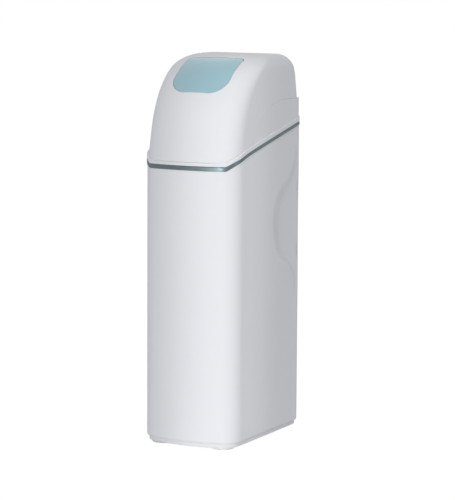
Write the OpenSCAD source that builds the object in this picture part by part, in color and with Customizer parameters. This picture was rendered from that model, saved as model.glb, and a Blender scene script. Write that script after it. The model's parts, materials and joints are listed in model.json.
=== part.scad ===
// Cabinet water softener: salt cabinet, resin tank, rotary control valve, hinged lid and control visor.
// Millimetres. X runs to the right seen from the front, Y to the rear, Z up.
// The origin lies on the floor under the middle of the cabinet.

/* [Cabinet] */
// Width of the cabinet
body_w = 300; // [296:1:320]
// Depth of the cabinet, front bow included
body_d = 468; // [456:1:500]
// How far the front bows out between its corners
front_bow = 26; // [16:1:34]
// Radius of the upright front corners
corner_r = 60; // [50:1:66]
// Radius of the upright rear corners
rear_r = 40; // [30:1:46]
// Thickness of the cabinet wall
wall = 4; // [3:0.5:5]
// Thickness of the cabinet floor
floor_t = 4; // [3:0.5:6]
// Depth of the dished recess in each side
dish_depth = 6; // [2:0.5:7]
// Radius of the dished recess
dish_r = 122; // [100:1:126]

/* [Base] */
// Height of the foot pads that show under the plinth
foot_h = 6; // [4:1:10]
// Radius of the foot pads
foot_r = 32; // [24:1:36]
// Height of the plinth between the feet and the cabinet
plinth_h = 11; // [9:1:16]
// Setback of the plinth from the cabinet wall
plinth_inset = 7; // [4:1:12]

/* [Trim and collar] */
// Height of the lower edge of the trim at the front
trim_front_z = 801; // [780:1:815]
// Quick rise of the trim round the front corners
trim_kick = 20; // [10:1:26]
// Rise of the trim along the sides, per millimetre of depth
trim_slope = 0.2; // [0.14:0.01:0.22]
// Height of the metal trim band
trim_h = 13; // [9:1:16]
// Height of the collar flange over the trim band
collar_h = 10; // [7:1:13]

/* [Lid] */
// Height of the top of the lid over the floor
overall_h = 1120; // [1110:1:1150]
// Radius of the sloping front of the lid in side view
lid_arc_r = 249; // [240:1:256]
// Setback of the lid side from the cabinet side
lid_inset = 3; // [2:0.5:5]
// Thickness of the lid wall
lid_wall = 3; // [2.5:0.5:4]
// Radius of the rounded upper edges of the lid
lid_top_r = 60; // [50:1:64]
// Height of the level rim of the rear shroud
shroud_z = 988; // [978:1:996]

/* [Visor and controls] */
// Half of the width of the visor
visor_half_w = 92; // [86:1:94]
// Reach of the visor from its middle to the top edge
visor_up = 84; // [80:1:87]
// Reach of the visor from its middle to the bottom edge
visor_down = 86; // [80:1:90]
// Gap round the visor
visor_gap = 1; // [0.6:0.1:1.4]
// Radius of the push buttons
button_r = 8; // [6:0.5:9]
// Travel of the push buttons
button_travel = 0.8; // [0.5:0.1:1]

/* [Resin tank] */
// Radius of the resin tank
tank_r = 103; // [92:1:106]
// Height of the resin tank from its bottom to the neck rim
tank_l = 757; // [745:1:765]
// Height of the resin bed
resin_h = 415; // [300:5:480]

/* [Control valve] */
// Height of the port axis over the neck rim
port_rise = 50; // [48:1:54]
// Half of the distance between the inlet and the outlet
port_half = 38; // [37:1:40]
// Radius of the flow bores
bore_r = 12.5; // [11:0.5:13]
// Radius of the male pipe connections
thread_r = 16.6; // [16:0.1:17.4]
// Module of the gear teeth
gear_m = 1.5; // [1.4:0.1:1.5]
// Teeth of the drive gear
drive_teeth = 40; // [40:4:40]
// Teeth of the motor pinion
pinion_teeth = 12; // [12:4:12]

/* [Brine well] */
// Outer radius of the brine well
well_r = 45; // [42:1:47]
// Height of the brine well over the cabinet floor
well_l = 749; // [700:1:760]
// Height of the salt grid over the cabinet floor
grid_z = 84; // [75:1:100]
// Travel of the float
float_travel = 25; // [15:1:40]

/* [Hidden] */
$fn = 96;
fit = 0.05;
gap = 0.4;
far = 400;

// Front bow, and the corner arcs tangent to it
bow_r = (body_w * body_w / 4 + front_bow * front_bow) / (2 * front_bow);
bow_y = bow_r - body_d / 2;
fillet_x = body_w / 2 - corner_r;
fillet_y = bow_y - sqrt(pow(bow_r - corner_r, 2) - fillet_x * fillet_x);

// Levels of the base
plinth_z = foot_h;
cabinet_z = foot_h + plinth_h;
floor_z = cabinet_z + floor_t;

// Levels of the tank and its ports
tank_z = floor_z + 17;
neck_z = tank_z + tank_l;
port_z = neck_z + port_rise;
notch_h = 90;

// Trim line
kick_y = -body_d / 2 + 9;
kick_run = 30;
trim_steps = 12;
trim_proud = 2;
collar_proud = 1.5;
collar_lip = 8;
skirt_in = wall + 4;
skirt_h = 15;
lip_in = wall + 9;
lip_out = wall + 12;

// A longer tank lifts the trim, the shroud and the lid, so that the pipes stay under the collar
pipe_clear = 4;
trim_rise = trim_kick * (1 - exp(-(body_d / 2 - kick_y) / kick_run)) + trim_slope * (body_d / 2 - kick_y);
lift = max(0, port_z + notch_h / 2 + pipe_clear + skirt_h - trim_front_z - trim_rise);
trim_low = trim_front_z + lift;
top_z = overall_h + lift;
rim_z = shroud_z + lift;

// Lid outline in side view
lid_rear_inset = 4.5;
lid_rear_r = 55;
lid_lean = 10;
brow_setback = 179;
lid_brow_y = body_d / 2 - brow_setback;
lid_arc_z = top_z - lid_arc_r;
lid_half_w = body_w / 2 - lid_inset;
lid_base_z = trim_low - 12;

// Line between the lid and the shroud
part_setback = 124;
part_y = body_d / 2 - part_setback;
part_a = 205;
part_b = 147;
part_z = rim_z - part_b;
shroud_in = 1.5;
shroud_t = 3;

// Lid hinge
hinge_y = body_d / 2 - 3;
hinge_z = rim_z + 2;
hinge_x = 70;
knuckle_r = 4.5;
knuckle_l = 20;
hinge_pin_r = 2;

// Middle of the visor, with the outward direction leaning back from upright
visor_theta = 55.5;
visor_tilt = 90 - visor_theta;
visor_y = lid_brow_y - lid_arc_r * cos(visor_theta) - bow_drop(lid_half_w);
visor_z = lid_arc_z + lid_arc_r * sin(visor_theta);
visor_t = lid_wall;
visor_top_r = 14;
visor_bottom_r = 62;
visor_hinge_gap = 3.4;
pivot_v = visor_up - 14;
pivot_w = -19.5;
pivot_r = 1.5;
tray_gap = 2.5;
tray_wall = 3;
deck_w = -34.5;
deck_t = 2.5;
board_w = -44.4;
board_t = 1.6;
tray_low = -52;
button_v = -38;
button_pitch = 36;
display_v = 22;
display_l = 86;
display_h = 44;

// Rear plumbing, worked forward from the rear wall to the tank
thread_end_y = body_d / 2 - 2;
bypass_l = 104;
port_l = 59;
tank_y = thread_end_y - bypass_l - port_l;
port_y = tank_y + port_l;
tank_wall = 4;
neck_r = 40;
neck_bore_r = 31;
dome_h = 72;
tank_low = tank_z + dome_h;
neck_l = 30;
tank_high = neck_z - neck_l - dome_h * sqrt(1 - pow(neck_r / tank_r, 2));
riser_r = 13.3;
gravel_z = tank_low + 15;
notch_w = 2 * port_half + 94;

// Control valve
valve_r = 44;
disc_z = port_z + 16;
disc_r = 33.8;
disc_t = 6;
rotor_t = 8;
cover_z = disc_z + 30;
cover_t = 5;
spindle_r = 9;
case_z = cover_z + cover_t;
gear_z = case_z + 2.6;
gear_t = 8;
case_top = gear_z + gear_t + 4;
case_lid_t = 3;
mesh_d = gear_m * (drive_teeth + pinion_teeth) / 2;
pinion_y = tank_y - mesh_d;
motor_shaft_r = 2.5;
side_z = port_z + 17;
side_x = 62;
turbine_y = tank_y + 38;
axle_r = 1.2;

// Bypass
rotor_y = port_y + 37;
rotor_r = 15;
rotor_low = port_z - 19;
rotor_top = port_z + 23;
knob_z = rotor_top + 6;

// Brine well
well_x = -(body_w / 2 - wall - 9 - well_r);
well_y = fillet_y + 33;
well_z = floor_z;
well_wall = 2;
well_top = well_z + well_l;
riser_off = 18;
rod_off = -14;
rod_r = 2.5;
brine_tube_r = 4.75;
brine_z = well_top - 25;
float_z = well_z + 250;
float_h = 50;
float_r = 19;

white = "#eef2f5";
pale = "#dfe6ea";
teal = "#4a6066";
tint = "#94b6c0";
grey = "#8c9296";
dark = "#2c2f32";
black = "#1a1b1c";
steel = "#b9bec2";
noryl = "#3a3d40";

// Plan shapes

// How far the bowed front falls back at x
function bow_drop(x) = bow_r - sqrt(bow_r * bow_r - x * x);

function unit(v) = v / norm(v);

// Plan of the cabinet, moved inward by inset
module plan_2d(inset) {
  half = body_w / 2 - inset;
  rear_x = body_w / 2 - rear_r;
  rear_y = body_d / 2 - rear_r;
  out = 2 * corner_r * unit([fillet_x, fillet_y - bow_y]);
  translate([-half, fillet_y]) square([2 * half, rear_y - fillet_y]);
  translate([-rear_x, 0]) square([2 * rear_x, body_d / 2 - inset]);
  for (side = [-1, 1]) {
    translate([side * fillet_x, fillet_y]) circle(corner_r - inset);
    translate([side * rear_x, rear_y]) circle(rear_r - inset);
  }
  intersection() {
    translate([0, bow_y]) circle(bow_r - inset, $fn = 240);
    polygon([
      [-fillet_x, fillet_y], [-fillet_x - out.x, fillet_y + out.y],
      [fillet_x + out.x, fillet_y + out.y], [fillet_x, fillet_y]
    ]);
  }
}

module plan_ring(outer, inner) {
  difference() {
    plan_2d(outer);
    plan_2d(inner);
  }
}

module raised(low, high) {
  translate([0, 0, low]) linear_extrude(high - low) children();
}

// A side view drawn in Y and Z, carried across the width from x0 to x1
module across(x0, x1) {
  rotate([90, 0, 90]) translate([0, 0, x0]) linear_extrude(x1 - x0) children();
}

module along_y(p) {
  translate(p) rotate([-90, 0, 0]) children();
}

module along_x(p) {
  translate(p) rotate([0, 90, 0]) children();
}

module tube(r_out, r_in, h) {
  difference() {
    cylinder(h = h, r = r_out);
    translate([0, 0, -1]) cylinder(h = h + 2, r = r_in);
  }
}

module at_tank() {
  translate([0, tank_y, 0]) children();
}

module at_well() {
  translate([well_x, well_y, 0]) children();
}

// Trim line in side view
function trim_z(y) =
  let (u = max(0, y - kick_y))
  trim_low + trim_kick * (1 - exp(-u / kick_run)) + trim_slope * u;

trim_ys = concat([-far], [for (i = [0:trim_steps]) kick_y + (far - kick_y) * pow(i / trim_steps, 2)]);

function trim_line(rise) = [for (y = trim_ys) [y, trim_z(y) + rise]];

function reversed(list) = [for (i = [len(list) - 1:-1:0]) list[i]];

module trim_strip_2d(low, high) {
  polygon(concat(trim_line(low), reversed(trim_line(high))));
}

module below_trim_2d(rise) {
  polygon(concat([[far, -50], [-far, -50]], trim_line(rise)));
}

collar_top = trim_h + collar_h;

// Side view of the shroud, grown by a clearance
module shroud_2d(grow) {
  a = part_a + grow;
  b = part_b + grow;
  arc = [for (t = [0:6:90]) [part_y - a * cos(t), part_z + b * sin(t)]];
  difference() {
    polygon(concat([[part_y - a, 0]], arc, [[far, part_z + b], [far, 0]]));
    below_trim_2d(collar_top);
  }
}

// Lid surface

// Front of the lid at its corners at height z, for a wall moved in by inset
function lid_front_y(z, inset) =
  let (
    r = lid_arc_r - inset,
    tangent_z = lid_arc_z + r * sin(lid_lean)
  )
  z < tangent_z
    ? lid_brow_y - r * cos(lid_lean) - (tangent_z - z) * tan(lid_lean)
    : lid_brow_y - sqrt(max(0, r * r - pow(z - lid_arc_z, 2)));

// Setback of the rounded upper edges at height z
function lid_shrink(z, inset) =
  let (
    r = lid_top_r - inset,
    rise = z - (top_z - lid_top_r)
  )
  rise <= 0 ? 0 : r - sqrt(max(0, r * r - rise * rise));

function arc_points(c, r, from, to, steps) =
  [for (i = [0:steps]) let (a = from + (to - from) * i / steps) c + r * [cos(a), sin(a)]];

// Level section of the lid
function lid_ring(z, inset) =
  let (
    set = lid_shrink(z, inset) + inset,
    half = lid_half_w - set,
    r = corner_r - lid_inset - inset,
    rear_rr = max(6, lid_rear_r - set),
    rear = body_d / 2 - lid_rear_inset - set,
    apex_y = lid_front_y(z, inset) - bow_drop(lid_half_w),
    c_y = apex_y + bow_r,
    x = half - r,
    y = c_y - sqrt(pow(bow_r - r, 2) - x * x),
    a = atan2(x, c_y - y),
    right = concat(
      arc_points([0, c_y], bow_r, -90, -90 + a, 6),
      arc_points([x, y], r, -90 + a, 0, 8),
      arc_points([half - rear_rr, rear - rear_rr], rear_rr, 0, 90, 8)
    ),
    left = [for (i = [len(right) - 1:-1:1]) [-right[i].x, right[i].y]]
  )
  [for (p = concat(right, left)) [p.x, p.y, z]];

// Heights of the lid sections
function lid_levels(inset) = concat(
  [lid_base_z - inset],
  [for (t = [lid_lean:5:85]) lid_arc_z + (lid_arc_r - inset) * sin(t)],
  [top_z - inset]
);

module lid_loft(inset) {
  levels = lid_levels(inset);
  rings = [for (z = levels) lid_ring(z, inset)];
  n = len(rings[0]);
  m = len(rings);
  points = [for (ring = rings) each ring];
  sides = [
    for (j = [0:m - 2]) for (i = [0:n - 1])
      let (k = (i + 1) % n, p = j * n, q = p + n)
      each [[p + i, q + i, q + k], [p + i, q + k, p + k]]
  ];
  bottom = [for (i = [0:n - 1]) i];
  top = [for (i = [n - 1:-1:0]) (m - 1) * n + i];
  polyhedron(points, concat([bottom, top], sides));
}

// Frame of the visor: X across, Y up the slope, Z outward
module on_visor() {
  translate([0, visor_y, visor_z]) rotate([visor_tilt, 0, 0]) children();
}

// Outline of the visor, grown by a clearance
module visor_2d(grow) {
  top_x = visor_half_w - visor_top_r;
  top_y = visor_up - visor_top_r;
  low_x = visor_half_w - visor_bottom_r;
  low_y = visor_bottom_r - visor_down;
  half = visor_half_w + grow;
  translate([-half, low_y]) square([2 * half, top_y - low_y]);
  translate([-top_x, 0]) square([2 * top_x, visor_up + grow]);
  translate([-low_x, -visor_down - grow]) square([2 * low_x, visor_down + grow]);
  for (side = [-1, 1]) {
    translate([side * top_x, top_y]) circle(visor_top_r + grow);
    translate([side * low_x, low_y]) circle(visor_bottom_r + grow);
  }
}

// The visor outline with room over its upper edge, where it swings in as it opens
module tray_2d(grow) {
  visor_2d(grow);
  translate([0, visor_hinge_gap]) visor_2d(grow);
}

// Gear outline
function inv(a) = tan(a) * 180 / PI - a;

function gear_points(teeth, m, pressure, thin) =
  let (
    pitch_r = m * teeth / 2,
    base_r = pitch_r * cos(pressure),
    root_r = pitch_r - 1.25 * m,
    tip_r = pitch_r + m,
    half = 90 / teeth - thin / pitch_r * 90 / PI + inv(pressure),
    radii = [max(base_r, root_r), pitch_r, tip_r],
    flank = [for (r = radii) [r, half - inv(acos(min(1, base_r / r)))]],
    low = [root_r, flank[0][1]]
  )
  [
    for (i = [0:teeth - 1])
      let (mid = 360 * i / teeth)
      each concat(
        [for (p = concat([low], flank)) p[0] * [cos(mid - p[1]), sin(mid - p[1])]],
        [for (p = reversed(concat([low], flank))) p[0] * [cos(mid + p[1]), sin(mid + p[1])]]
      )
  ];

// Cabinet and base

dish_drop = 173;
dish_z = trim_low - dish_drop;
dish_run = 226;
dish_setback = 84;

// Outline of the side dish in Y and Z
module dish_2d() {
  c = [body_d / 2 - dish_setback, dish_z];
  blend_r = 120;
  line_y = body_d / 2 - 54;
  blend_y = line_y - blend_r;
  rise = sqrt(pow(dish_r + blend_r, 2) - pow(c.x - blend_y, 2));
  share = dish_r / (dish_r + blend_r);
  meet = [c.x + (blend_y - c.x) * share, rise * share];
  translate(c) circle(dish_r);
  difference() {
    polygon([
      [meet.x, c.y + meet.y], [line_y, c.y + rise], [far, c.y + rise],
      [far, c.y - rise], [line_y, c.y - rise], [meet.x, c.y - meet.y]
    ]);
    for (side = [-1, 1]) translate([blend_y, c.y + side * rise]) circle(blend_r);
  }
}

// Dish in the right side, deepest at its middle and running out at its ends
module dish() {
  steps = 8;
  floor_line = [
    for (i = [-steps:steps])
      let (t = i / steps)
      [body_w / 2 - dish_depth * (1 - t * t), dish_z + dish_run * t]
  ];
  intersection() {
    across(body_w / 2 - dish_depth - 1, body_w / 2 + 1) dish_2d();
    translate([0, far, 0]) rotate([90, 0, 0]) linear_extrude(2 * far)
      polygon(concat(
        [[body_w / 2 + 2, dish_z - dish_run]], floor_line, [[body_w / 2 + 2, dish_z + dish_run]]
      ));
  }
}

// Thickening of the side wall behind each dish
module dish_pad() {
  low_y = body_d / 2 - dish_setback - dish_r - 3 * wall;
  pad_run = dish_run - 9;
  translate([body_w / 2 - wall - dish_depth, low_y, dish_z - pad_run])
    cube([2 * dish_depth, body_d, 2 * pad_run]);
}

module cabinet_hollow() {
  difference() {
    raised(0, top_z) plan_2d(wall);
    dish_pad();
    mirror([1, 0, 0]) dish_pad();
  }
}

module rear_notch() {
  translate([-notch_w / 2, body_d / 2 - 3 * wall, port_z - notch_h / 2]) cube([notch_w, 6 * wall, notch_h]);
}

module at_overflow() {
  along_y([0, body_d / 2, trim_low - 100]) children();
}

overflow_r = 11;

module cabinet() {
  color(white) difference() {
    intersection() {
      raised(cabinet_z, top_z) plan_2d(0);
      across(-far, far) below_trim_2d(0);
    }
    cabinet_hollow();
    dish();
    mirror([1, 0, 0]) dish();
    rear_notch();
    at_overflow() translate([0, 0, -2 * wall]) cylinder(h = 3 * wall, r = overflow_r + 0.3);
  }
}

foot_x = body_w / 2 - 52;
foot_y = body_d / 2 - 58;
stem_r = 8;

module at_feet() {
  for (x = [-foot_x, foot_x]) for (y = [-foot_y, foot_y]) translate([x, y, 0]) children();
}

// Plinth and floor in one, welded into the foot of the cabinet wall
module base_pan() {
  skirt = 4;
  plate_t = 4;
  color(pale) difference() {
    union() {
      raised(plinth_z, cabinet_z + 1) plan_2d(plinth_inset);
      raised(cabinet_z, floor_z) plan_2d(wall);
    }
    difference() {
      raised(plinth_z - 1, cabinet_z - plate_t) plan_2d(plinth_inset + skirt);
      at_feet() cylinder(h = cabinet_z, r = stem_r + 6);
    }
    at_feet() translate([0, 0, plinth_z - 1]) cylinder(h = plinth_h - plate_t + 1, r = stem_r + fit);
  }
}

module feet() {
  color(pale) at_feet() {
    cylinder(h = foot_h, r = foot_r);
    translate([0, 0, foot_h - 1]) cylinder(h = plinth_h - 4.6, r = stem_r);
  }
}

module trim_band() {
  color(teal) intersection() {
    raised(0, top_z) plan_ring(-trim_proud, wall);
    across(-far, far) trim_strip_2d(0, trim_h);
  }
}

module top_collar() {
  color(white) {
    intersection() {
      raised(0, top_z) plan_ring(-collar_proud, lip_out);
      across(-far, far) trim_strip_2d(trim_h, collar_top);
    }
    intersection() {
      raised(0, top_z) plan_ring(wall + 0.3, skirt_in);
      across(-far, far) trim_strip_2d(-skirt_h, trim_h + 1);
    }
    intersection() {
      raised(0, top_z) plan_ring(lip_in, lip_out);
      across(-far, far) trim_strip_2d(trim_h, collar_top + collar_lip);
    }
  }
}

socket_x = -70;
socket_z = rim_z - 24;
socket_r = 7;

module at_hinges() {
  for (x = [-hinge_x, hinge_x]) translate([x, hinge_y, hinge_z]) children();
}

module rear_shroud() {
  lug_l = 9;
  lug_x = knuckle_l / 2 + gap;
  color(white) difference() {
    union() {
      intersection() {
        raised(0, top_z) plan_ring(shroud_in, shroud_in + shroud_t);
        across(-far, far) shroud_2d(0);
      }
      at_hinges() for (side = [0, 1]) mirror([side, 0, 0]) {
        along_x([lug_x, 0, 0]) cylinder(h = lug_l, r = knuckle_r);
        translate([lug_x, -1.5, -14]) cube([lug_l, shroud_t, 14]);
      }
    }
    at_hinges() {
      along_x([-lug_x - lug_l - 1, 0, 0]) cylinder(h = 2 * (lug_x + lug_l + 1), r = hinge_pin_r + fit);
      translate([-lug_x, -10, -knuckle_r - gap]) cube([2 * lug_x, 20, 20]);
    }
    along_y([socket_x, body_d / 2 - 12, socket_z]) cylinder(h = 20, r = socket_r + 0.2);
  }
}

module hinge_pins() {
  l = knuckle_l + 19;
  color(steel) at_hinges() along_x([-l / 2, 0, 0]) cylinder(h = l, r = hinge_pin_r);
}

module power_socket() {
  rear = body_d / 2 - shroud_in;
  color(black) difference() {
    union() {
      along_y([socket_x, rear, socket_z]) cylinder(h = 2, r = socket_r + 2.5);
      along_y([socket_x, rear - 14, socket_z]) cylinder(h = 15, r = socket_r);
    }
    along_y([socket_x, rear - 10, socket_z]) cylinder(h = 20, r = 2.8);
  }
}

module overflow_bushing() {
  color(grey) at_overflow() difference() {
    union() {
      cylinder(h = 2, r = overflow_r + 5);
      translate([0, 0, -14]) cylinder(h = 15, r = overflow_r);
    }
    translate([0, 0, -15]) cylinder(h = 20, r = overflow_r - 3);
  }
}

module overflow_nut() {
  nut_l = 7;
  color(grey) at_overflow() translate([0, 0, -wall - nut_l]) difference() {
    cylinder(h = nut_l, r = overflow_r + 6, $fn = 6);
    translate([0, 0, -1]) cylinder(h = nut_l + 2, r = overflow_r + fit);
  }
}

// Resin tank and its filling

// Points of a dome quarter, r from r_low outward
function dome(a, b, z, from, to) =
  [for (i = [0:12]) let (t = from + (to - from) * i / 12) [a * cos(t), z + b * sin(t)]];

module resin_tank() {
  inner = tank_r - tank_wall;
  inner_h = dome_h - tank_wall;
  neck_in = acos(neck_r / tank_r);
  bore_in = acos(neck_bore_r / inner);
  color("#3f6f86") at_tank() rotate_extrude() polygon(concat(
    dome(tank_r, dome_h, tank_low, -90, 0),
    dome(tank_r, dome_h, tank_high, 0, neck_in),
    [[neck_r, neck_z], [neck_bore_r, neck_z]],
    dome(inner, inner_h, tank_high, bore_in, 0),
    dome(inner, inner_h, tank_low, 0, -90)
  ));
}

module tank_boot() {
  a = tank_r + 0.3;
  b = dome_h + 0.3;
  rim = asin(-10 / b);
  color(dark) at_tank() rotate_extrude() polygon(concat(
    [[0, floor_z], [tank_r + 3, floor_z], [tank_r + 3, tank_low - 10]],
    reversed(dome(a, b, tank_low, -90, rim))
  ));
}

module riser_tube() {
  low = tank_z + 14;
  color(pale) at_tank() translate([0, 0, low]) tube(riser_r, riser_r - 2.3, neck_z + 28 - low);
}

basket_r = 24;
basket_z = tank_z + 9;
basket_h = 32;

module lower_basket() {
  slots = 12;
  color(white) at_tank() difference() {
    translate([0, 0, basket_z]) cylinder(h = basket_h, r = basket_r);
    translate([0, 0, basket_z + 4]) cylinder(h = basket_h, r = riser_r + fit);
    for (i = [0:slots - 1]) rotate(i * 360 / slots)
      translate([riser_r, -0.5, basket_z + 8]) cube([basket_r, 1, 16]);
  }
}

module upper_basket() {
  slots = 12;
  top = neck_z - 32;
  h = 28;
  r = 28;
  color(white) at_tank() difference() {
    translate([0, 0, top - h]) tube(r, riser_r + 0.3, h);
    translate([0, 0, top - h + 4]) tube(r - 4, riser_r + 4, h);
    for (i = [0:slots - 1]) rotate(i * 360 / slots) translate([r - 6, -0.5, top - h + 6]) cube([10, 1, 16]);
  }
}

module gravel_bed() {
  a = tank_r - tank_wall - 0.3;
  b = dome_h - tank_wall - 0.3;
  near = basket_r + 0.3;
  color("#b5a488") at_tank() rotate_extrude() polygon(concat(
    dome(a, b, tank_low, -acos(near / a), 0),
    [
      [a, gravel_z], [riser_r + 0.3, gravel_z], [riser_r + 0.3, basket_z + basket_h + 0.3],
      [near, basket_z + basket_h + 0.3]
    ]
  ));
}

module resin_bed() {
  color("#b8812f") at_tank() translate([0, 0, gravel_z + 0.2])
    tube(tank_r - tank_wall - 0.3, riser_r + 0.3, resin_h);
}

module neck_seal() {
  color(black) at_tank() translate([0, 0, neck_z]) rotate_extrude() translate([35.5, 2]) circle(1.9);
}

// Control valve

module valve_body() {
  flange_h = 10;
  boss_r = 11;
  neck_depth = 32;
  port_wall = 5.5;
  seal_groove = 4;
  color(noryl) difference() {
    union() {
      at_tank() {
        translate([0, 0, neck_z]) cylinder(h = flange_h, r = valve_r + 2);
        translate([0, 0, neck_z + 1]) cylinder(h = cover_z - neck_z - 1, r = valve_r);
        translate([0, 0, neck_z - neck_depth]) cylinder(h = neck_depth + 1, r = neck_bore_r - 0.4);
      }
      for (x = [-port_half, port_half]) {
        along_y([x, tank_y, port_z]) cylinder(h = port_l, r = bore_r + port_wall);
        along_y([x, port_y - 6, port_z]) cylinder(h = 6, r = bore_r + port_wall + 4);
      }
      along_x([-side_x, tank_y, side_z]) cylinder(h = 2 * side_x, r = boss_r);
    }
    at_tank() {
      translate([0, 0, neck_z - neck_depth - 1]) cylinder(h = neck_depth + 30, r = riser_r + fit);
      translate([0, 0, disc_z]) cylinder(h = 60, r = disc_r + 0.2);
      translate([0, 0, neck_z - 1]) tube(35.5 + seal_groove / 2, 35.5 - seal_groove / 2, seal_groove + 1.2);
      for (a = [30, 150]) rotate(a) translate([20, 0, port_z]) cylinder(h = 20, r = 6);
    }
    for (x = [-port_half, port_half]) {
      along_y([x, tank_y + 4, port_z]) cylinder(h = port_l, r = bore_r);
      along_x([x < 0 ? x : x - 20, tank_y + 10, port_z]) cylinder(h = 20, r = 5);
    }
    along_x([-side_x - 1, tank_y, side_z]) cylinder(h = 24, r = 5);
    along_x([side_x - 23, tank_y, side_z]) cylinder(h = 24, r = 5);
    at_screws() translate([0, 0, -14]) cylinder(h = 20, r = 1.95 + fit);
  }
}

module disc_holes(h) {
  for (a = [30, 150, 270]) rotate(a) translate([20, 0, -1]) cylinder(h = h + 2, r = 6);
}

module fixed_disc() {
  color("#e9e6dd") at_tank() translate([0, 0, disc_z]) difference() {
    cylinder(h = disc_t, r = disc_r);
    disc_holes(disc_t);
    translate([0, 0, -1]) cylinder(h = disc_t + 2, r = 4);
  }
}

module moving_disc() {
  color("#d9dcd9") at_tank() translate([0, 0, disc_z + disc_t + 0.1]) difference() {
    cylinder(h = rotor_t, r = disc_r - 0.4);
    rotate(30) translate([20, 0, -1]) cylinder(h = rotor_t + 2, r = 6);
    rotate(210) translate([10, 0, -1]) cylinder(h = rotor_t - 2, r = 9);
    for (x = [-14, 14]) translate([x, 0, rotor_t - 3]) cylinder(h = 4, r = 3 + fit);
  }
}

module at_screws() {
  for (a = [45:90:315]) translate([0, tank_y, 0]) rotate(a) translate([39, 0, cover_z]) children();
}

module valve_cover() {
  low = disc_z + disc_t + rotor_t + 4.5;
  color(noryl) difference() {
    at_tank() {
      translate([0, 0, cover_z]) cylinder(h = cover_t, r = valve_r);
      translate([0, 0, low]) tube(disc_r, 22, cover_z - low + 1);
    }
    at_tank() translate([0, 0, low]) cylinder(h = 60, r = spindle_r + fit);
    at_screws() translate([0, 0, -1]) cylinder(h = 20, r = 2.3);
  }
}

module cover_screws() {
  color(steel) at_screws() {
    translate([0, 0, -13]) cylinder(h = 13 + cover_t + 0.5, r = 1.95);
    translate([0, 0, cover_t]) cylinder(h = 3, r = 3.6, $fn = 6);
  }
}

module drive_gear() {
  flange_z = disc_z + disc_t + rotor_t + 0.1;
  top_r = 4;
  color(white) at_tank() {
    translate([0, 0, flange_z]) cylinder(h = 4, r = 20);
    for (x = [-14, 14]) translate([x, 0, flange_z - 2.5]) cylinder(h = 3, r = 3);
    translate([0, 0, flange_z + 1]) cylinder(h = gear_z - flange_z, r = spindle_r);
    translate([0, 0, gear_z]) difference() {
      linear_extrude(gear_t) polygon(gear_points(drive_teeth, gear_m, 25, 0.3));
      for (a = [0:60:300]) rotate(a) translate([18, 0, -1]) cylinder(h = gear_t + 2, r = 4.5);
    }
    translate([0, 0, gear_z + gear_t - 1])
      cylinder(h = case_top + case_lid_t - gear_z - gear_t + 0.5, r = top_r);
  }
}

case_r = gear_m * drive_teeth / 2 + 6;
case_nose_r = gear_m * pinion_teeth / 2 + 6;

// Plan of the gear case round the gear and the pinion
module case_2d(inset) {
  at_tank() circle(case_r - inset);
  translate([0, pinion_y]) circle(case_nose_r - inset);
  translate([inset - case_nose_r, pinion_y]) square([2 * (case_nose_r - inset), mesh_d]);
}

module gear_case() {
  case_floor = 2;
  case_wall = 2.5;
  color(dark) difference() {
    raised(case_z, case_top) case_2d(0);
    raised(case_z + case_floor, case_top + 1) case_2d(case_wall);
    at_tank() translate([0, 0, case_z - 1]) cylinder(h = 10, r = spindle_r + 0.3);
    at_screws() translate([0, 0, cover_t - 1]) cylinder(h = 20, r = 4.4);
  }
}

module gear_case_lid() {
  color(dark) difference() {
    raised(case_top, case_top + case_lid_t) case_2d(0);
    at_tank() translate([0, 0, case_top - 1]) cylinder(h = 10, r = 4 + fit);
    translate([0, pinion_y, case_top - 1]) cylinder(h = 10, r = motor_shaft_r + 0.3);
    at_screws() translate([0, 0, cover_t - 1]) cylinder(h = 40, r = 4.4);
  }
}

module motor() {
  motor_r = 17;
  motor_h = 34;
  low = case_top + case_lid_t;
  color(steel) translate([0, pinion_y, low]) difference() {
    union() {
      cylinder(h = motor_h, r = motor_r);
      cylinder(h = 2.5, r = motor_r + 2);
      translate([0, 0, motor_h - 1]) cylinder(h = 4, r = 5);
    }
    translate([0, 0, -1]) cylinder(h = 12, r = motor_shaft_r + fit);
  }
}

module motor_pinion() {
  color(pale) translate([0, pinion_y, gear_z]) {
    rotate(180 / pinion_teeth) linear_extrude(gear_t) polygon(gear_points(pinion_teeth, gear_m, 25, 0.3));
    cylinder(h = case_top + case_lid_t - gear_z + 9, r = motor_shaft_r);
  }
}

module turbine_cage() {
  ring_r = bore_r - fit;
  ring_l = 20;
  start = turbine_y - 5;
  color(white) {
    along_y([port_half, start, port_z]) tube(ring_r, ring_r - 1.5, ring_l);
    for (a = [0:120:240]) along_y([port_half, start, port_z]) rotate(a)
      translate([0, -0.75, 0]) cube([ring_r - 0.5, 1.5, 2]);
    along_y([port_half, start, port_z]) cylinder(h = ring_l, r = axle_r);
  }
}

module turbine() {
  blades = 6;
  blade_r = bore_r - 2.4;
  l = 9;
  color("#c9552e") along_y([port_half, turbine_y, port_z]) difference() {
    union() {
      cylinder(h = l, r = 3.2);
      for (i = [0:blades - 1]) rotate(i * 360 / blades) translate([2, 0, l / 2]) rotate([32, 0, 0])
        translate([0, -0.5, -3.8]) cube([blade_r - 2.3, 1, 7.6]);
    }
    translate([0, 0, -1]) cylinder(h = l + 2, r = axle_r + fit);
  }
}

barb_r = 7;
drain_l = 40;
elbow_x = side_x + 10;

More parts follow.
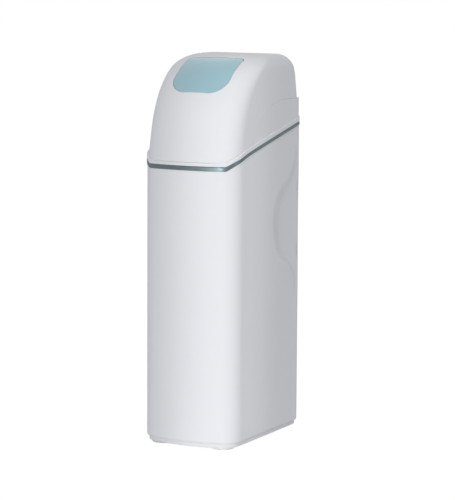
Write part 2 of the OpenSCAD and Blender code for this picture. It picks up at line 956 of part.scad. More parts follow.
// Elbow on the right side boss, with a spigot that leaves along Y
module side_elbow(spigot_r, spigot_l, bore) {
  difference() {
    union() {
      along_x([side_x, tank_y, side_z]) cylinder(h = 10, r = 9);
      translate([elbow_x, tank_y, side_z]) sphere(10);
      along_y([elbow_x, tank_y, side_z]) cylinder(h = 13, r = 9);
      along_y([elbow_x, tank_y, side_z]) cylinder(h = 12 + spigot_l, r = spigot_r);
    }
    along_x([side_x - 1, tank_y, side_z]) cylinder(h = 11, r = bore);
    along_y([elbow_x, tank_y, side_z]) cylinder(h = spigot_l + 13, r = bore);
  }
}

module drain_fitting() {
  color(dark) side_elbow(barb_r, drain_l, 4);
}

module brine_fitting() {
  l = 18;
  color(dark) translate([0, 2 * tank_y, 0]) rotate(180) difference() {
    side_elbow(8, l, 3.5);
    along_y([elbow_x, tank_y + 14, side_z]) cylinder(h = l, r = brine_tube_r + fit);
  }
}

module injector() {
  color("#b4562f") along_x([-side_x + 8, tank_y, side_z]) tube(5 - fit, 1.5, 12);
}

module bypass_body() {
  tube_r = bore_r + 5.5;
  boss_r = rotor_r + 5;
  hex_y = thread_end_y - 36;
  hex_l = 9;
  color(noryl) difference() {
    union() {
      for (x = [-port_half, port_half]) {
        along_y([x, port_y, port_z]) cylinder(h = 6, r = tube_r + 4);
        along_y([x, port_y, port_z]) cylinder(h = hex_y - port_y + 1, r = tube_r);
        along_y([x, hex_y, port_z]) cylinder(h = hex_l, r = tube_r + 4, $fn = 6);
        along_y([x, hex_y, port_z]) cylinder(h = thread_end_y - hex_y, r = thread_r);
        translate([x, rotor_y, rotor_low - 4]) cylinder(h = rotor_top - rotor_low + 4, r = boss_r);
      }
      along_x([-port_half, rotor_y, port_z]) cylinder(h = 2 * port_half, r = bore_r + 1.5);
    }
    for (x = [-port_half, port_half]) {
      along_y([x, port_y - 1, port_z]) cylinder(h = bypass_l + 2, r = bore_r);
      translate([x, rotor_y, rotor_low]) cylinder(h = 80, r = rotor_r + fit);
    }
    along_x([-port_half, rotor_y, port_z]) cylinder(h = 2 * port_half, r = bore_r - 3.5);
  }
}

module port_clamps() {
  in_r = bore_r + 5.5;
  lip = 3;
  l = 12 + 2 * lip + 0.4;
  start = port_y - l / 2;
  color(grey) for (x = [-port_half, port_half]) difference() {
    along_y([x, start, port_z]) cylinder(h = l, r = in_r + 8);
    along_y([x, start - 1, port_z]) cylinder(h = l + 2, r = in_r + 0.3);
    along_y([x, start + lip, port_z]) cylinder(h = l - 2 * lip, r = in_r + 4.3);
    translate([x - 12, start - 1, port_z - 40]) cube([24, l + 2, 40]);
  }
}

module bypass_rotor(x) {
  translate([x, rotor_y, 0]) difference() {
    union() {
      translate([0, 0, rotor_low + 0.2]) cylinder(h = rotor_top - rotor_low - 0.2, r = rotor_r);
      translate([0, 0, rotor_top - 1]) cylinder(h = knob_z + 8 - rotor_top, r = 6);
    }
    along_y([0, -30, port_z]) cylinder(h = 60, r = bore_r - 0.5);
  }
}

module bypass_knob(x) {
  h = 14;
  translate([x, rotor_y, knob_z]) difference() {
    union() {
      cylinder(h = h, r = 13);
      translate([-5, -24, 3]) cube([10, 48, h - 3]);
    }
    translate([0, 0, -1]) cylinder(h = 8.5, r = 6 + fit);
  }
}

module inlet_rotor() {
  color(pale) bypass_rotor(-port_half);
}

module outlet_rotor() {
  color(pale) bypass_rotor(port_half);
}

module inlet_knob() {
  color("#2f6fa8") bypass_knob(-port_half);
}

module outlet_knob() {
  color("#2f6fa8") bypass_knob(port_half);
}

// Salt grid and brine well

grid_t = 4;

module salt_grid() {
  pitch = 17;
  hole_r = 4;
  top = floor_z + grid_z;
  edge = fillet_y - 36;
  color(white) difference() {
    raised(top - grid_t, top) plan_2d(wall + 7.5);
    at_tank() cylinder(h = far, r = tank_r + 4);
    at_well() cylinder(h = far, r = well_r + 1);
    for (i = [0:9]) for (j = [0:7]) {
      x = -42 + i * pitch;
      y = edge + j * pitch + (i % 2) * pitch / 2;
      if (x < fillet_x + 40 && norm([x, y - tank_y]) > tank_r + 12 && (x < fillet_x || y > fillet_y - 10))
        translate([x, y, 0]) cylinder(h = far, r = hole_r, $fn = 24);
    }
  }
}

module grid_legs() {
  leg_r = 11;
  low = floor_z;
  high = floor_z + grid_z - grid_t;
  places = [
    [fillet_x, fillet_y], [0, fillet_y - 20],
    [fillet_x + 22, fillet_y + 90], [-fillet_x - 25, fillet_y + 115],
    [-fillet_x - 15, body_d / 2 - 58], [fillet_x + 15, body_d / 2 - 58]
  ];
  color(white) for (p = places) translate([p.x, p.y, low]) tube(leg_r, leg_r - 2, high - low);
}

module brine_well() {
  slots = 8;
  color(white) at_well() difference() {
    translate([0, 0, well_z]) tube(well_r, well_r - well_wall, well_l);
    for (i = [0:slots - 1]) rotate(i * 360 / slots + 22.5)
      translate([well_r - 6, -1.5, well_z + 8]) cube([12, 3, 40]);
    along_y([0, 0, brine_z]) cylinder(h = 2 * well_r, r = brine_tube_r + 1.2);
  }
}

module brine_well_cap() {
  skirt = 12;
  t = 3;
  color(pale) at_well() translate([0, 0, well_top]) {
    translate([0, 0, 0.3]) cylinder(h = t, r = well_r + 2.5);
    translate([0, 0, -skirt]) tube(well_r + 2.5, well_r + 0.3, skirt + 1);
    translate([0, 0, t]) tube(9, 6, 8);
  }
}

module safety_valve() {
  low = well_z + 22;
  body_h = 36;
  color(dark) at_well() difference() {
    union() {
      translate([0, riser_off, low]) cylinder(h = body_h, r = 10);
      translate([0, rod_off, low]) cylinder(h = body_h, r = 12);
      translate([-8, rod_off, low]) cube([16, riser_off - rod_off, body_h]);
      translate([0, riser_off, low]) cylinder(h = brine_z - low, r = 6.5);
      translate([0, riser_off, brine_z]) sphere(8);
      along_y([0, riser_off, brine_z]) cylinder(h = 20, r = 8);
    }
    translate([0, riser_off, low - 1]) cylinder(h = brine_z - low + 1, r = 4.5);
    along_y([0, riser_off, brine_z]) cylinder(h = 8, r = 3.5);
    along_y([0, riser_off + 6, brine_z]) cylinder(h = 20, r = brine_tube_r + fit);
    translate([0, rod_off, low + 6]) cylinder(h = body_h, r = rod_r + fit);
  }
}

module air_check() {
  h = 22;
  color(pale) at_well() translate([0, riser_off, well_z]) difference() {
    cylinder(h = h, r = 9);
    translate([0, 0, 3]) cylinder(h = h, r = 6.5);
    for (a = [0:60:120]) rotate(a) translate([-12, -1.5, 5]) cube([24, 3, 11]);
  }
}

rod_low = well_z + 32;
rod_top = float_z + float_h + 20;

module float() {
  color("#d7d2c4") at_well() translate([0, rod_off, float_z]) tube(float_r, rod_r + fit, float_h);
}

module float_rod() {
  color(steel) at_well() translate([0, rod_off, 0]) {
    translate([0, 0, rod_low]) cylinder(h = rod_top - rod_low, r = rod_r);
    translate([0, 0, float_z - 4]) cylinder(h = 4, r = 6);
    translate([0, 0, float_z + float_h]) cylinder(h = 4, r = 6);
  }
}

// Route of the brine tube from the valve to the well, straight inside both sockets
brine_from = [-elbow_x, tank_y - 14.5, side_z];
brine_to = [well_x, well_y + riser_off + 6.5, brine_z];
brine_lead = 24;
brine_bend = 60;

function brine_route(t) =
  let (
    a = brine_from - [0, brine_lead, 0],
    d = brine_to + [0, brine_lead, 0],
    b = a - [0, brine_bend, 0],
    c = d + [0, brine_bend, 0],
    s = 1 - t
  )
  s * s * s * a + 3 * s * s * t * b + 3 * s * t * t * c + t * t * t * d;

module brine_line() {
  bends = 12;
  steps = bends + 2;
  sides = 12;
  inner_r = brine_tube_r - 1.2;
  centres = concat([brine_from], [for (i = [0:bends]) brine_route(i / bends)], [brine_to]);
  rings = [
    for (r = [brine_tube_r, inner_r]) for (i = [0:steps])
      let (
        ahead = unit(centres[min(i + 1, steps)] - centres[max(i - 1, 0)]),
        way = i < 2 || i > steps - 2 ? [0, -1, 0] : ahead,
        side = unit(cross(way, [1, 0, 0])),
        up = cross(side, way)
      )
      [for (k = [0:sides - 1]) let (a = 360 * k / sides) centres[i] + r * (cos(a) * side + sin(a) * up)]
  ];
  m = steps + 1;
  outer = [
    for (j = [0:steps - 1]) for (i = [0:sides - 1])
      let (k = (i + 1) % sides, p = j * sides, q = p + sides)
      each [[p + i, p + k, q + k], [p + i, q + k, q + i]]
  ];
  inner = [
    for (j = [0:steps - 1]) for (i = [0:sides - 1])
      let (k = (i + 1) % sides, p = (m + j) * sides, q = p + sides)
      each [[p + i, q + k, p + k], [p + i, q + i, q + k]]
  ];
  ends = [
    for (i = [0:sides - 1])
      let (k = (i + 1) % sides, o = steps * sides, p = m * sides, q = (m + steps) * sides)
      each [[i, p + i, p + k], [i, p + k, k], [o + i, q + k, q + i], [o + i, o + k, q + k]]
  ];
  color(white) polyhedron([for (ring = rings) each ring], concat(outer, inner, ends));
}

// Lid, visor and controls

module lid() {
  color(white) difference() {
    lid_loft(0);
    lid_loft(lid_wall);
    across(-far, far) below_trim_2d(collar_top + gap);
    across(-far, far) shroud_2d(gap);
    on_visor() raised(-40, 40) {
      tray_2d(visor_gap);
    }
    at_hinges() translate([-knuckle_l / 2 - 11, -12, -20]) cube([knuckle_l + 22, 24, 20 + knuckle_r + 1.5]);
  }
}

module lid_hinge_leaves() {
  leaf_t = 2.2;
  leaf_h = 30;
  lid_rear = body_d / 2 - lid_rear_inset;
  color(steel) at_hinges() difference() {
    union() {
      along_x([-knuckle_l / 2, 0, 0]) cylinder(h = knuckle_l, r = knuckle_r);
      translate([-knuckle_l / 2, lid_rear - hinge_y + 0.05, 0]) cube([knuckle_l, leaf_t, leaf_h]);
    }
    along_x([-knuckle_l, 0, 0]) cylinder(h = 2 * knuckle_l, r = hinge_pin_r + fit);
  }
}

module visor() {
  ear_x = visor_half_w - 9;
  ear_t = 5;
  color(tint) {
    difference() {
      intersection() {
        lid_loft(0);
        on_visor() raised(-60, 40) visor_2d(0);
      }
      lid_loft(visor_t);
    }
    difference() {
      on_visor() for (side = [0, 1]) mirror([side, 0, 0]) {
        along_x([ear_x, pivot_v, pivot_w]) cylinder(h = ear_t, r = 4);
        translate([ear_x, pivot_v - 4, pivot_w]) cube([ear_t, 8, 8]);
        along_x([ear_x, pivot_v, pivot_w]) cylinder(h = visor_half_w + 4 - ear_x, r = pivot_r);
      }
      difference() {
        on_visor() translate([-far, pivot_v - 20, pivot_w - 20]) cube([2 * far, 40, 60]);
        lid_loft(visor_t - 0.5);
      }
    }
  }
}

module control_tray() {
  color(pale) intersection() {
    lid_loft(lid_wall + 0.3);
    on_visor() difference() {
      union() {
        raised(tray_low, 20) difference() {
          tray_2d(tray_gap + tray_wall);
          tray_2d(tray_gap);
        }
      }
      along_x([-far / 2, pivot_v, pivot_w]) cylinder(h = far, r = pivot_r + fit);
    }
  }
}

// Deck fixed inside the tray, with the display window and the button holes
module control_deck() {
  boss_x = display_l / 2 + 23;
  boss_r = 3;
  color(pale) on_visor() difference() {
    union() {
      raised(deck_w - deck_t, deck_w) tray_2d(tray_gap - 0.1);
      for (x = [-boss_x, boss_x]) for (y = [display_v - 40, display_v + 28])
        translate([x, y, board_w]) cylinder(h = deck_w - board_w - 1, r = boss_r);
    }
    translate([-display_l / 2 - 0.3, display_v - display_h / 2 - 0.3, deck_w - 10])
      cube([display_l + 0.6, display_h + 0.6, 20]);
    for (i = [0:3]) translate([button_x(i), button_v, deck_w - 10]) cylinder(h = 20, r = button_r + 0.1);
  }
}

function button_x(i) = (i - 1.5) * button_pitch;

module display() {
  color(dark) on_visor() translate([-display_l / 2, display_v - display_h / 2, board_w])
    cube([display_l, display_h, deck_w - board_w]);
}

module control_board() {
  board_l = 150;
  board_h = 106;
  switch = 8;
  color("#2f6b45") on_visor() {
    translate([-board_l / 2, -52, board_w - board_t]) cube([board_l, board_h, board_t]);
    for (i = [0:3]) translate([button_x(i) - switch / 2, button_v - switch / 2, board_w - 0.5])
      cube([switch, switch, 2.5]);
  }
}

module control_cover() {
  color(white) on_visor() raised(tray_low - 2.5, tray_low) tray_2d(tray_gap + tray_wall);
}

// A push button seated against the underside of the deck
module button(i) {
  under = deck_w - deck_t - 0.1;
  stem_w = board_w + 2 + button_travel + 0.3;
  on_visor() translate([button_x(i), button_v, 0]) {
    translate([0, 0, under - 1]) cylinder(h = deck_w + 2 - under + 1, r = button_r);
    translate([0, 0, under - 2]) cylinder(h = 2, r = button_r + 2);
    translate([0, 0, stem_w]) cylinder(h = under - 1 - stem_w, r = 3);
  }
}

module button_menu() {
  color(grey) button(0);
}

module button_up() {
  color(grey) button(1);
}

module button_down() {
  color(grey) button(2);
}

module button_regenerate() {
  color("#2f6fa8") button(3);
}

cabinet();
base_pan();
feet();
trim_band();
top_collar();
rear_shroud();
hinge_pins();
power_socket();
overflow_bushing();
overflow_nut();
resin_tank();
tank_boot();
riser_tube();
lower_basket();
upper_basket();
gravel_bed();
resin_bed();
neck_seal();
valve_body();
fixed_disc();
moving_disc();
valve_cover();
cover_screws();
drive_gear();
gear_case();
gear_case_lid();
motor();
motor_pinion();
turbine_cage();
turbine();
drain_fitting();
brine_fitting();
injector();
bypass_body();
port_clamps();
inlet_rotor();
outlet_rotor();
inlet_knob();
outlet_knob();
salt_grid();
grid_legs();
brine_well();
brine_well_cap();
safety_valve();
air_check();
float();
float_rod();
brine_line();
lid();
lid_hinge_leaves();
visor();
control_tray();
control_deck();
display();
control_board();
control_cover();
button_menu();
button_up();
button_down();
button_regenerate();
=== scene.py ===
"""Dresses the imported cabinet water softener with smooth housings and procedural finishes."""

import json
import logging
import math
from dataclasses import dataclass
from enum import Enum
from typing import Callable, Sequence

import bmesh
import bpy
import numpy as np
from mathutils import Matrix, Vector


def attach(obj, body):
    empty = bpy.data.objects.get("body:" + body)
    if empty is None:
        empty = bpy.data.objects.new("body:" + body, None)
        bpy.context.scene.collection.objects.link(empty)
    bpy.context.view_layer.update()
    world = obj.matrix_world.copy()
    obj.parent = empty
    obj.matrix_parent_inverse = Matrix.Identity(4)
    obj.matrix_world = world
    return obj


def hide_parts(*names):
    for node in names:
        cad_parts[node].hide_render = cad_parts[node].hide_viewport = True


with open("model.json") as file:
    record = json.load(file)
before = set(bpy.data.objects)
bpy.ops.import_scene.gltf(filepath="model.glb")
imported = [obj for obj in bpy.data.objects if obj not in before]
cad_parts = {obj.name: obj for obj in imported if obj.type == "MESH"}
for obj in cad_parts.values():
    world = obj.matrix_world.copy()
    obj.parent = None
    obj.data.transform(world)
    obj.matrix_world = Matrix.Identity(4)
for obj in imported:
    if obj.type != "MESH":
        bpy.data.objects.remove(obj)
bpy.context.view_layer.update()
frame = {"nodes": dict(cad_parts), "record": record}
LOG = logging.getLogger("softener")
Row = np.ndarray
Solid = bpy.types.Object
Socket = bpy.types.NodeSocket
Material = bpy.types.Material
Node = bpy.types.Node
NodeTree = bpy.types.NodeTree
Point = tuple[float, float]
Trio = tuple[float, float, float]
Profile = tuple[Point, ...]
Measures = Sequence[float | np.ndarray]


class Stretch(Enum):
    """Stretches of one half of a plan outline, from the front middle to the rear middle."""

    FRONT = 0
    FRONT_CORNER = 1
    SIDE = 2
    REAR_CORNER = 3
    REAR = 4


class Cut(Enum):
    """How a tool body changes a piece."""

    TAKE = "DIFFERENCE"
    ADD = "UNION"
    KEEP = "INTERSECT"


# Hand tools

WELD = 2e-6
SLIVER = 1e-7


def clear_selection() -> None:
    """Leaves edit mode and deselects everything."""
    if bpy.context.object is not None and bpy.context.object.mode != "OBJECT":
        bpy.ops.object.mode_set(mode="OBJECT")
    bpy.ops.object.select_all(action="DESELECT")


def only(obj: Solid) -> None:
    """Makes one object the selected and active one.

    Args:
        obj: The object to work on.
    """
    clear_selection()
    obj.select_set(True)
    bpy.context.view_layer.objects.active = obj


def discard(obj: Solid) -> None:
    """Removes a tool body or a pattern that has done its work."""
    bpy.data.objects.remove(obj, do_unlink=True)


def fresh(name: str) -> Solid:
    """Names the primitive that was just added.

    Args:
        name: Name of the object and of its mesh.

    Returns:
        The new object.
    """
    obj = bpy.context.active_object
    obj.name = name
    obj.data.name = name
    return obj


def settle(obj: Solid) -> Solid:
    """Moves an object's place into its mesh, so that it sits at the origin.

    Args:
        obj: The object with its place set.

    Returns:
        The same object.
    """
    only(obj)
    bpy.ops.object.transform_apply(location=True, rotation=True, scale=True)
    return obj


def mend(obj: Solid, fill: bool = True) -> None:
    """Welds doubles, closes open ends and turns all faces outward.

    Args:
        obj: The mesh to mend.
        fill: Whether open rings are closed with a face.
    """
    only(obj)
    bpy.ops.object.mode_set(mode="EDIT")
    bpy.ops.mesh.select_all(action="SELECT")
    bpy.ops.mesh.remove_doubles(threshold=WELD)
    bpy.ops.mesh.dissolve_degenerate(threshold=SLIVER)
    if fill:
        bpy.ops.mesh.select_all(action="SELECT")
        bpy.ops.mesh.fill_holes(sides=0)
    bpy.ops.mesh.select_all(action="SELECT")
    bpy.ops.mesh.normals_make_consistent(inside=False)
    bpy.ops.object.mode_set(mode="OBJECT")


def place(obj: Solid, picks: Sequence[int], points: Sequence[Sequence[float]]) -> None:
    """Moves picked points of the mesh being edited to their places.

    Args:
        obj: The piece in edit mode.
        picks: Index of each point.
        points: Where each one goes.
    """
    mesh = bmesh.from_edit_mesh(obj.data)
    mesh.verts.ensure_lookup_table()
    for i, point in zip(picks, points):
        mesh.verts[i].co = point


def drawn_from(vert: bmesh.types.BMVert) -> int:
    """Index of the selected point that was just drawn out of a point."""
    others = (edge.other_vert(vert) for edge in vert.link_edges)
    return next(other.index for other in others if other.select)


def loft(name: str, rows: Sequence[Row], ring: bool = True, loop: bool = False, fill: bool = True) -> Solid:
    """Draws out a circle of edges row by row, each row laid on its own points.

    Args:
        name: Name of the new piece.
        rows: Arrays of points, all of one length.
        ring: Whether each row closes on itself.
        loop: Whether the last row meets the first.
        fill: Whether the open ends are closed with a face.

    Returns:
        The new mesh object at the origin.
    """
    stack = [np.asarray(row, float) for row in rows]
    if loop:
        stack.append(stack[0])
    count = len(stack[0])
    clear_selection()
    bpy.ops.mesh.primitive_circle_add(vertices=count, radius=0.1, fill_type="NOTHING")
    obj = fresh(name)
    bpy.ops.object.mode_set(mode="EDIT")
    if not ring:
        mesh = bmesh.from_edit_mesh(obj.data)
        for edge in mesh.edges:
            edge.select_set({v.index for v in edge.verts} == {0, count - 1})
        bpy.ops.mesh.delete(type="EDGE")
        bpy.ops.mesh.select_all(action="SELECT")
    picks = list(range(count))
    place(obj, picks, stack[0])
    for row in stack[1:]:
        bpy.ops.mesh.extrude_edges_move()
        mesh = bmesh.from_edit_mesh(obj.data)
        mesh.verts.ensure_lookup_table()
        mesh.verts.index_update()
        picks = [drawn_from(mesh.verts[i]) for i in picks]
        place(obj, picks, row)
    bmesh.update_edit_mesh(obj.data)
    bpy.ops.object.mode_set(mode="OBJECT")
    mend(obj, fill)
    return obj


def apply_modifier(obj: Solid, kind: str, **settings: object) -> None:
    """Adds a modifier with the given settings and applies it.

    Args:
        obj: The piece.
        kind: Modifier type.
        settings: Values of the modifier's properties.
    """
    only(obj)
    mod = obj.modifiers.new(kind.lower(), kind)
    for key, value in settings.items():
        setattr(mod, key, value)
    bpy.ops.object.modifier_apply(modifier=mod.name)


def carve(obj: Solid, tool: Solid, how: Cut) -> None:
    """Joins, cuts or trims a piece with a tool body, which is then removed.

    Args:
        obj: The piece.
        tool: A closed body.
        how: What the tool does.
    """
    apply_modifier(obj, "BOOLEAN", object=tool, operation=how.value, solver="EXACT")
    discard(tool)


def smooth(obj: Solid, angle: float = 35.0) -> None:
    """Shades a piece smooth and keeps its sharper edges.

    Args:
        obj: The piece.
        angle: Edges sharper than this stay sharp, in degrees.
    """
    only(obj)
    bpy.ops.object.shade_smooth_by_angle(angle=math.radians(angle))
    apply_modifier(obj, "WEIGHTED_NORMAL", keep_sharp=True, weight=60)


def soften(obj: Solid, width: float, segments: int = 2, angle: float = 40.0) -> None:
    """Rounds the sharp edges of a piece and shades it smooth.

    Args:
        obj: The piece.
        width: Width of the rounding.
        segments: Faces across the rounding.
        angle: Edges sharper than this are rounded, in degrees.
    """
    apply_modifier(
        obj, "BEVEL", width=width, segments=segments, limit_method="ANGLE",
        angle_limit=math.radians(angle), use_clamp_overlap=True, miter_outer="MITER_ARC",
    )
    smooth(obj, angle)


def box_body(name: str, low: Sequence[float], high: Sequence[float]) -> Solid:
    """Adds a block between two corners, with its place in its mesh.

    Args:
        name: Name of the block.
        low: Its lowest corner.
        high: Its highest corner.

    Returns:
        The settled block.
    """
    clear_selection()
    bpy.ops.mesh.primitive_cube_add(size=1.0, location=[(a + b) / 2 for a, b in zip(low, high)])
    obj = fresh(name)
    obj.scale = [b - a for a, b in zip(low, high)]
    return settle(obj)


def rod_body(name: str, start: Sequence[float], end: Sequence[float], radius: float, sides: int = 48) -> Solid:
    """Adds a round bar between two points, with its place in its mesh.

    Args:
        name: Name of the bar.
        start: Middle of one end.
        end: Middle of the other end.
        radius: Its radius.
        sides: Faces round it.

    Returns:
        The settled bar.
    """
    a, b = Vector(start), Vector(end)
    clear_selection()
    bpy.ops.mesh.primitive_cylinder_add(vertices=sides, radius=radius, depth=(b - a).length, location=(a + b) / 2)
    obj = fresh(name)
    obj.rotation_euler = (b - a).to_track_quat("Z", "Y").to_euler()
    return settle(obj)


def turned(name: str, profile: Sequence[Point], steps: int = 64, foot: Sequence[float] = (0, 0, 0)) -> Solid:
    """Spins a profile of radius and height round an upright axis.

    Args:
        name: Name of the new piece.
        profile: Radius and height of each point, from one end to the other.
        steps: Faces round the axis.
        foot: Foot of the axis.

    Returns:
        The closed turned piece.
    """
    clear_selection()
    bpy.ops.mesh.primitive_plane_add(size=1.0)
    obj = fresh(name)
    bpy.ops.object.mode_set(mode="EDIT")
    bpy.ops.mesh.select_all(action="SELECT")
    bpy.ops.mesh.merge(type="CENTER")
    place(obj, [0], [(profile[0][0], 0.0, profile[0][1])])
    bmesh.update_edit_mesh(obj.data)
    for (r0, z0), (r1, z1) in zip(profile, profile[1:]):
        bpy.ops.mesh.extrude_region_move(TRANSFORM_OT_translate={"value": (r1 - r0, 0.0, z1 - z0)})
    bpy.ops.mesh.select_all(action="SELECT")
    bpy.ops.mesh.spin(steps=steps, angle=2 * math.pi, center=(0, 0, 0), axis=(0, 0, 1))
    bpy.ops.object.mode_set(mode="OBJECT")
    obj.location = foot
    settle(obj)
    mend(obj)
    return obj


def stand(obj: Solid, spot: Sequence[float], axis: Sequence[float] = (0, 0, 1)) -> Solid:
    """Turns a piece's upright axis to a direction and moves it to its spot.

    Args:
        obj: The piece at the origin.
        spot: Where its origin goes.
        axis: Where its upright axis points.

    Returns:
        The settled piece.
    """
    obj.rotation_euler = Vector((0, 0, 1)).rotation_difference(Vector(axis)).to_euler()
    obj.location = spot
    return settle(obj)


def copied(obj: Solid, shift: Sequence[float] = (0, 0, 0), turn: float = 0.0) -> Solid:
    """Copies a piece with its own mesh, then turns the copy about the upright and moves it.

    Args:
        obj: The piece at the origin.
        shift: How far the copy moves.
        turn: Angle in degrees.

    Returns:
        The settled copy.
    """
    only(obj)
    bpy.ops.object.duplicate(linked=False)
    twin = bpy.context.active_object
    twin.rotation_euler = (0.0, 0.0, math.radians(turn))
    twin.location = shift
    return settle(twin)


def gather(name: str, pieces: Sequence[Solid]) -> Solid:
    """Joins pieces into the first of them.

    Args:
        name: Name of the joined piece.
        pieces: What is joined.

    Returns:
        The joined piece.
    """
    only(pieces[0])
    for other in pieces[1:]:
        other.select_set(True)
    bpy.ops.object.join()
    pieces[0].name = name
    return pieces[0]


def repeated(name: str, pattern: Solid, spots: Sequence[Sequence[float]]) -> Solid:
    """Copies a pattern to each spot, removes the pattern and joins the copies.

    Args:
        name: Name of the joined piece.
        pattern: The piece that repeats.
        spots: How far each copy moves.

    Returns:
        The joined copies.
    """
    copies = [copied(pattern, spot) for spot in spots]
    discard(pattern)
    return gather(name, copies)


def enlist(piece: Solid, body: str, slot: str, material: Material, *nodes: str) -> None:
    """Dresses a finished piece and ties it to the frame.

    Args:
        piece: The finished piece.
        body: Body that it rides on.
        slot: Material slot of the record; not used.
        material: Its finish.
        nodes: Nodes that it stands for.
    """
    piece.data.materials.clear()
    piece.data.materials.append(material)
    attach(piece, body)
    if nodes:
        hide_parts(*nodes)
    LOG.info("%s: %d faces on %s", piece.name, len(piece.data.polygons), body)


# Finishes


class Sketch:
    """A small helper that lays out the nodes of one material."""

    def __init__(self, name: str) -> None:
        """Starts a material with a principled shader.

        Args:
            name: Name of the material.
        """
        self.material = bpy.data.materials.new(name)
        self.material.use_nodes = True
        self.tree = self.material.node_tree
        self.tree.nodes.clear()
        self.out = self.tree.nodes.new("ShaderNodeOutputMaterial")
        self.shader = self.tree.nodes.new("ShaderNodeBsdfPrincipled")
        self.link(self.shader.outputs["BSDF"], self.out.inputs["Surface"])
        coords = self.tree.nodes.new("ShaderNodeTexCoord")
        self.coords = coords.outputs["Object"]

    def link(self, a: Socket, b: Socket) -> None:
        """Links two sockets."""
        self.tree.links.new(a, b)

    def node(self, kind: str, **values: object) -> Node:
        """Adds a node and sets its properties.

        Args:
            kind: Node type.
            values: Values of its properties.

        Returns:
            The new node.
        """
        made = self.tree.nodes.new(kind)
        for key, value in values.items():
            setattr(made, key, value)
        return made

    def stretched(self, scale: Sequence[float]) -> Socket:
        """Object coordinates, scaled along each axis.

        Args:
            scale: Factor along each axis.

        Returns:
            The vector socket.
        """
        mapping = self.node("ShaderNodeMapping")
        mapping.inputs["Scale"].default_value = scale
        self.link(self.coords, mapping.inputs["Vector"])
        return mapping.outputs["Vector"]

    def noise(self, scale: float, detail: float = 3.0, vector: Socket | None = None) -> Socket:
        """A noise value on object coordinates.

        Args:
            scale: Grains per metre.
            detail: Octaves.
            vector: Coordinates to use in place of the plain ones.

        Returns:
            The noise socket, about 0 to 1.
        """
        made = self.node("ShaderNodeTexNoise")
        made.inputs["Scale"].default_value = scale
        made.inputs["Detail"].default_value = detail
        self.link(vector or self.coords, made.inputs["Vector"])
        return made.outputs["Fac"]

    def cells(self, scale: float, output: str = "Distance") -> Socket:
        """A cell pattern on object coordinates.

        Args:
            scale: Cells per metre.
            output: Which value of the cells.

        Returns:
            The value socket.
        """
        made = self.node("ShaderNodeTexVoronoi")
        made.inputs["Scale"].default_value = scale
        self.link(self.coords, made.inputs["Vector"])
        return made.outputs[output]

    def ramp(self, value: Socket, low: Trio, high: Trio, start: float = 0.3, end: float = 0.7) -> Socket:
        """Colours between two ends of a value.

        Args:
            value: Driving value.
            low: Colour at start.
            high: Colour at end.
            start: Value that gives low.
            end: Value that gives high.

        Returns:
            The colour socket.
        """
        made = self.node("ShaderNodeValToRGB")
        made.color_ramp.elements[0].position = start
        made.color_ramp.elements[1].position = end
        made.color_ramp.elements[0].color = (*low, 1.0)
        made.color_ramp.elements[1].color = (*high, 1.0)
        self.link(value, made.inputs["Fac"])
        return made.outputs["Color"]

    def painted_highlight_above(self, colour: Socket, pale: Sequence[float], low: float, high: float) -> Socket:
        """A colour that goes over into a paler one between two heights: a painted highlight towards the top.

        Args:
            colour: Colour below.
            pale: Colour of the painted highlight above.
            low: Height where the change starts.
            high: Height where it ends.

        Returns:
            The colour socket.
        """
        split = self.node("ShaderNodeSeparateXYZ")
        self.link(self.coords, split.inputs[0])
        rise = self.node("ShaderNodeMapRange", interpolation_type="SMOOTHSTEP")
        rise.inputs["From Min"].default_value = low
        rise.inputs["From Max"].default_value = high
        self.link(split.outputs["Z"], rise.inputs["Value"])
        mix = self.node("ShaderNodeMix", data_type="RGBA")
        mix.inputs[7].default_value = (*pale, 1.0)
        self.link(rise.outputs["Result"], mix.inputs[0])
        self.link(colour, mix.inputs[6])
        return mix.outputs[2]

    def span(self, value: Socket, low: float, high: float) -> Socket:
        """Maps a value of 0 to 1 between two numbers.

        Args:
            value: A noise value.
            low: Number at its low end.
            high: Number at its high end.

        Returns:
            The number socket.
        """
        made = self.node("ShaderNodeMapRange")
        for key, end in (("From Min", 0.25), ("From Max", 0.75), ("To Min", low), ("To Max", high)):
            made.inputs[key].default_value = end
        self.link(value, made.inputs["Value"])
        return made.outputs["Result"]

    def bump(self, height: Socket, strength: float, distance: float, below: Socket | None = None) -> Socket:
        """Adds a bump, on top of an earlier one where given.

        Args:
            height: Height value.
            strength: Strength of the bump.
            distance: Depth that a height of 1 stands for.
            below: An earlier bump.

        Returns:
            The normal socket.
        """
        made = self.node("ShaderNodeBump")
        made.inputs["Strength"].default_value = strength
        made.inputs["Distance"].default_value = distance
        self.link(height, made.inputs["Height"])
        if below is not None:
            self.link(below, made.inputs["Normal"])
        return made.outputs["Normal"]

    def feed(self, socket: str, source: Socket) -> None:
        """Links a source to the shader."""
        self.link(source, self.shader.inputs[socket])

    def fix(self, **values: float) -> None:
        """Sets plain numbers on the shader's own sockets, named with underscores."""
        for key, value in values.items():
            self.shader.inputs[key.replace("_", " ")].default_value = value


def shade(colour: Trio, by: float) -> Trio:
    """A colour made lighter or darker by a factor."""
    return tuple(min(1.0, max(0.0, c * by)) for c in colour)


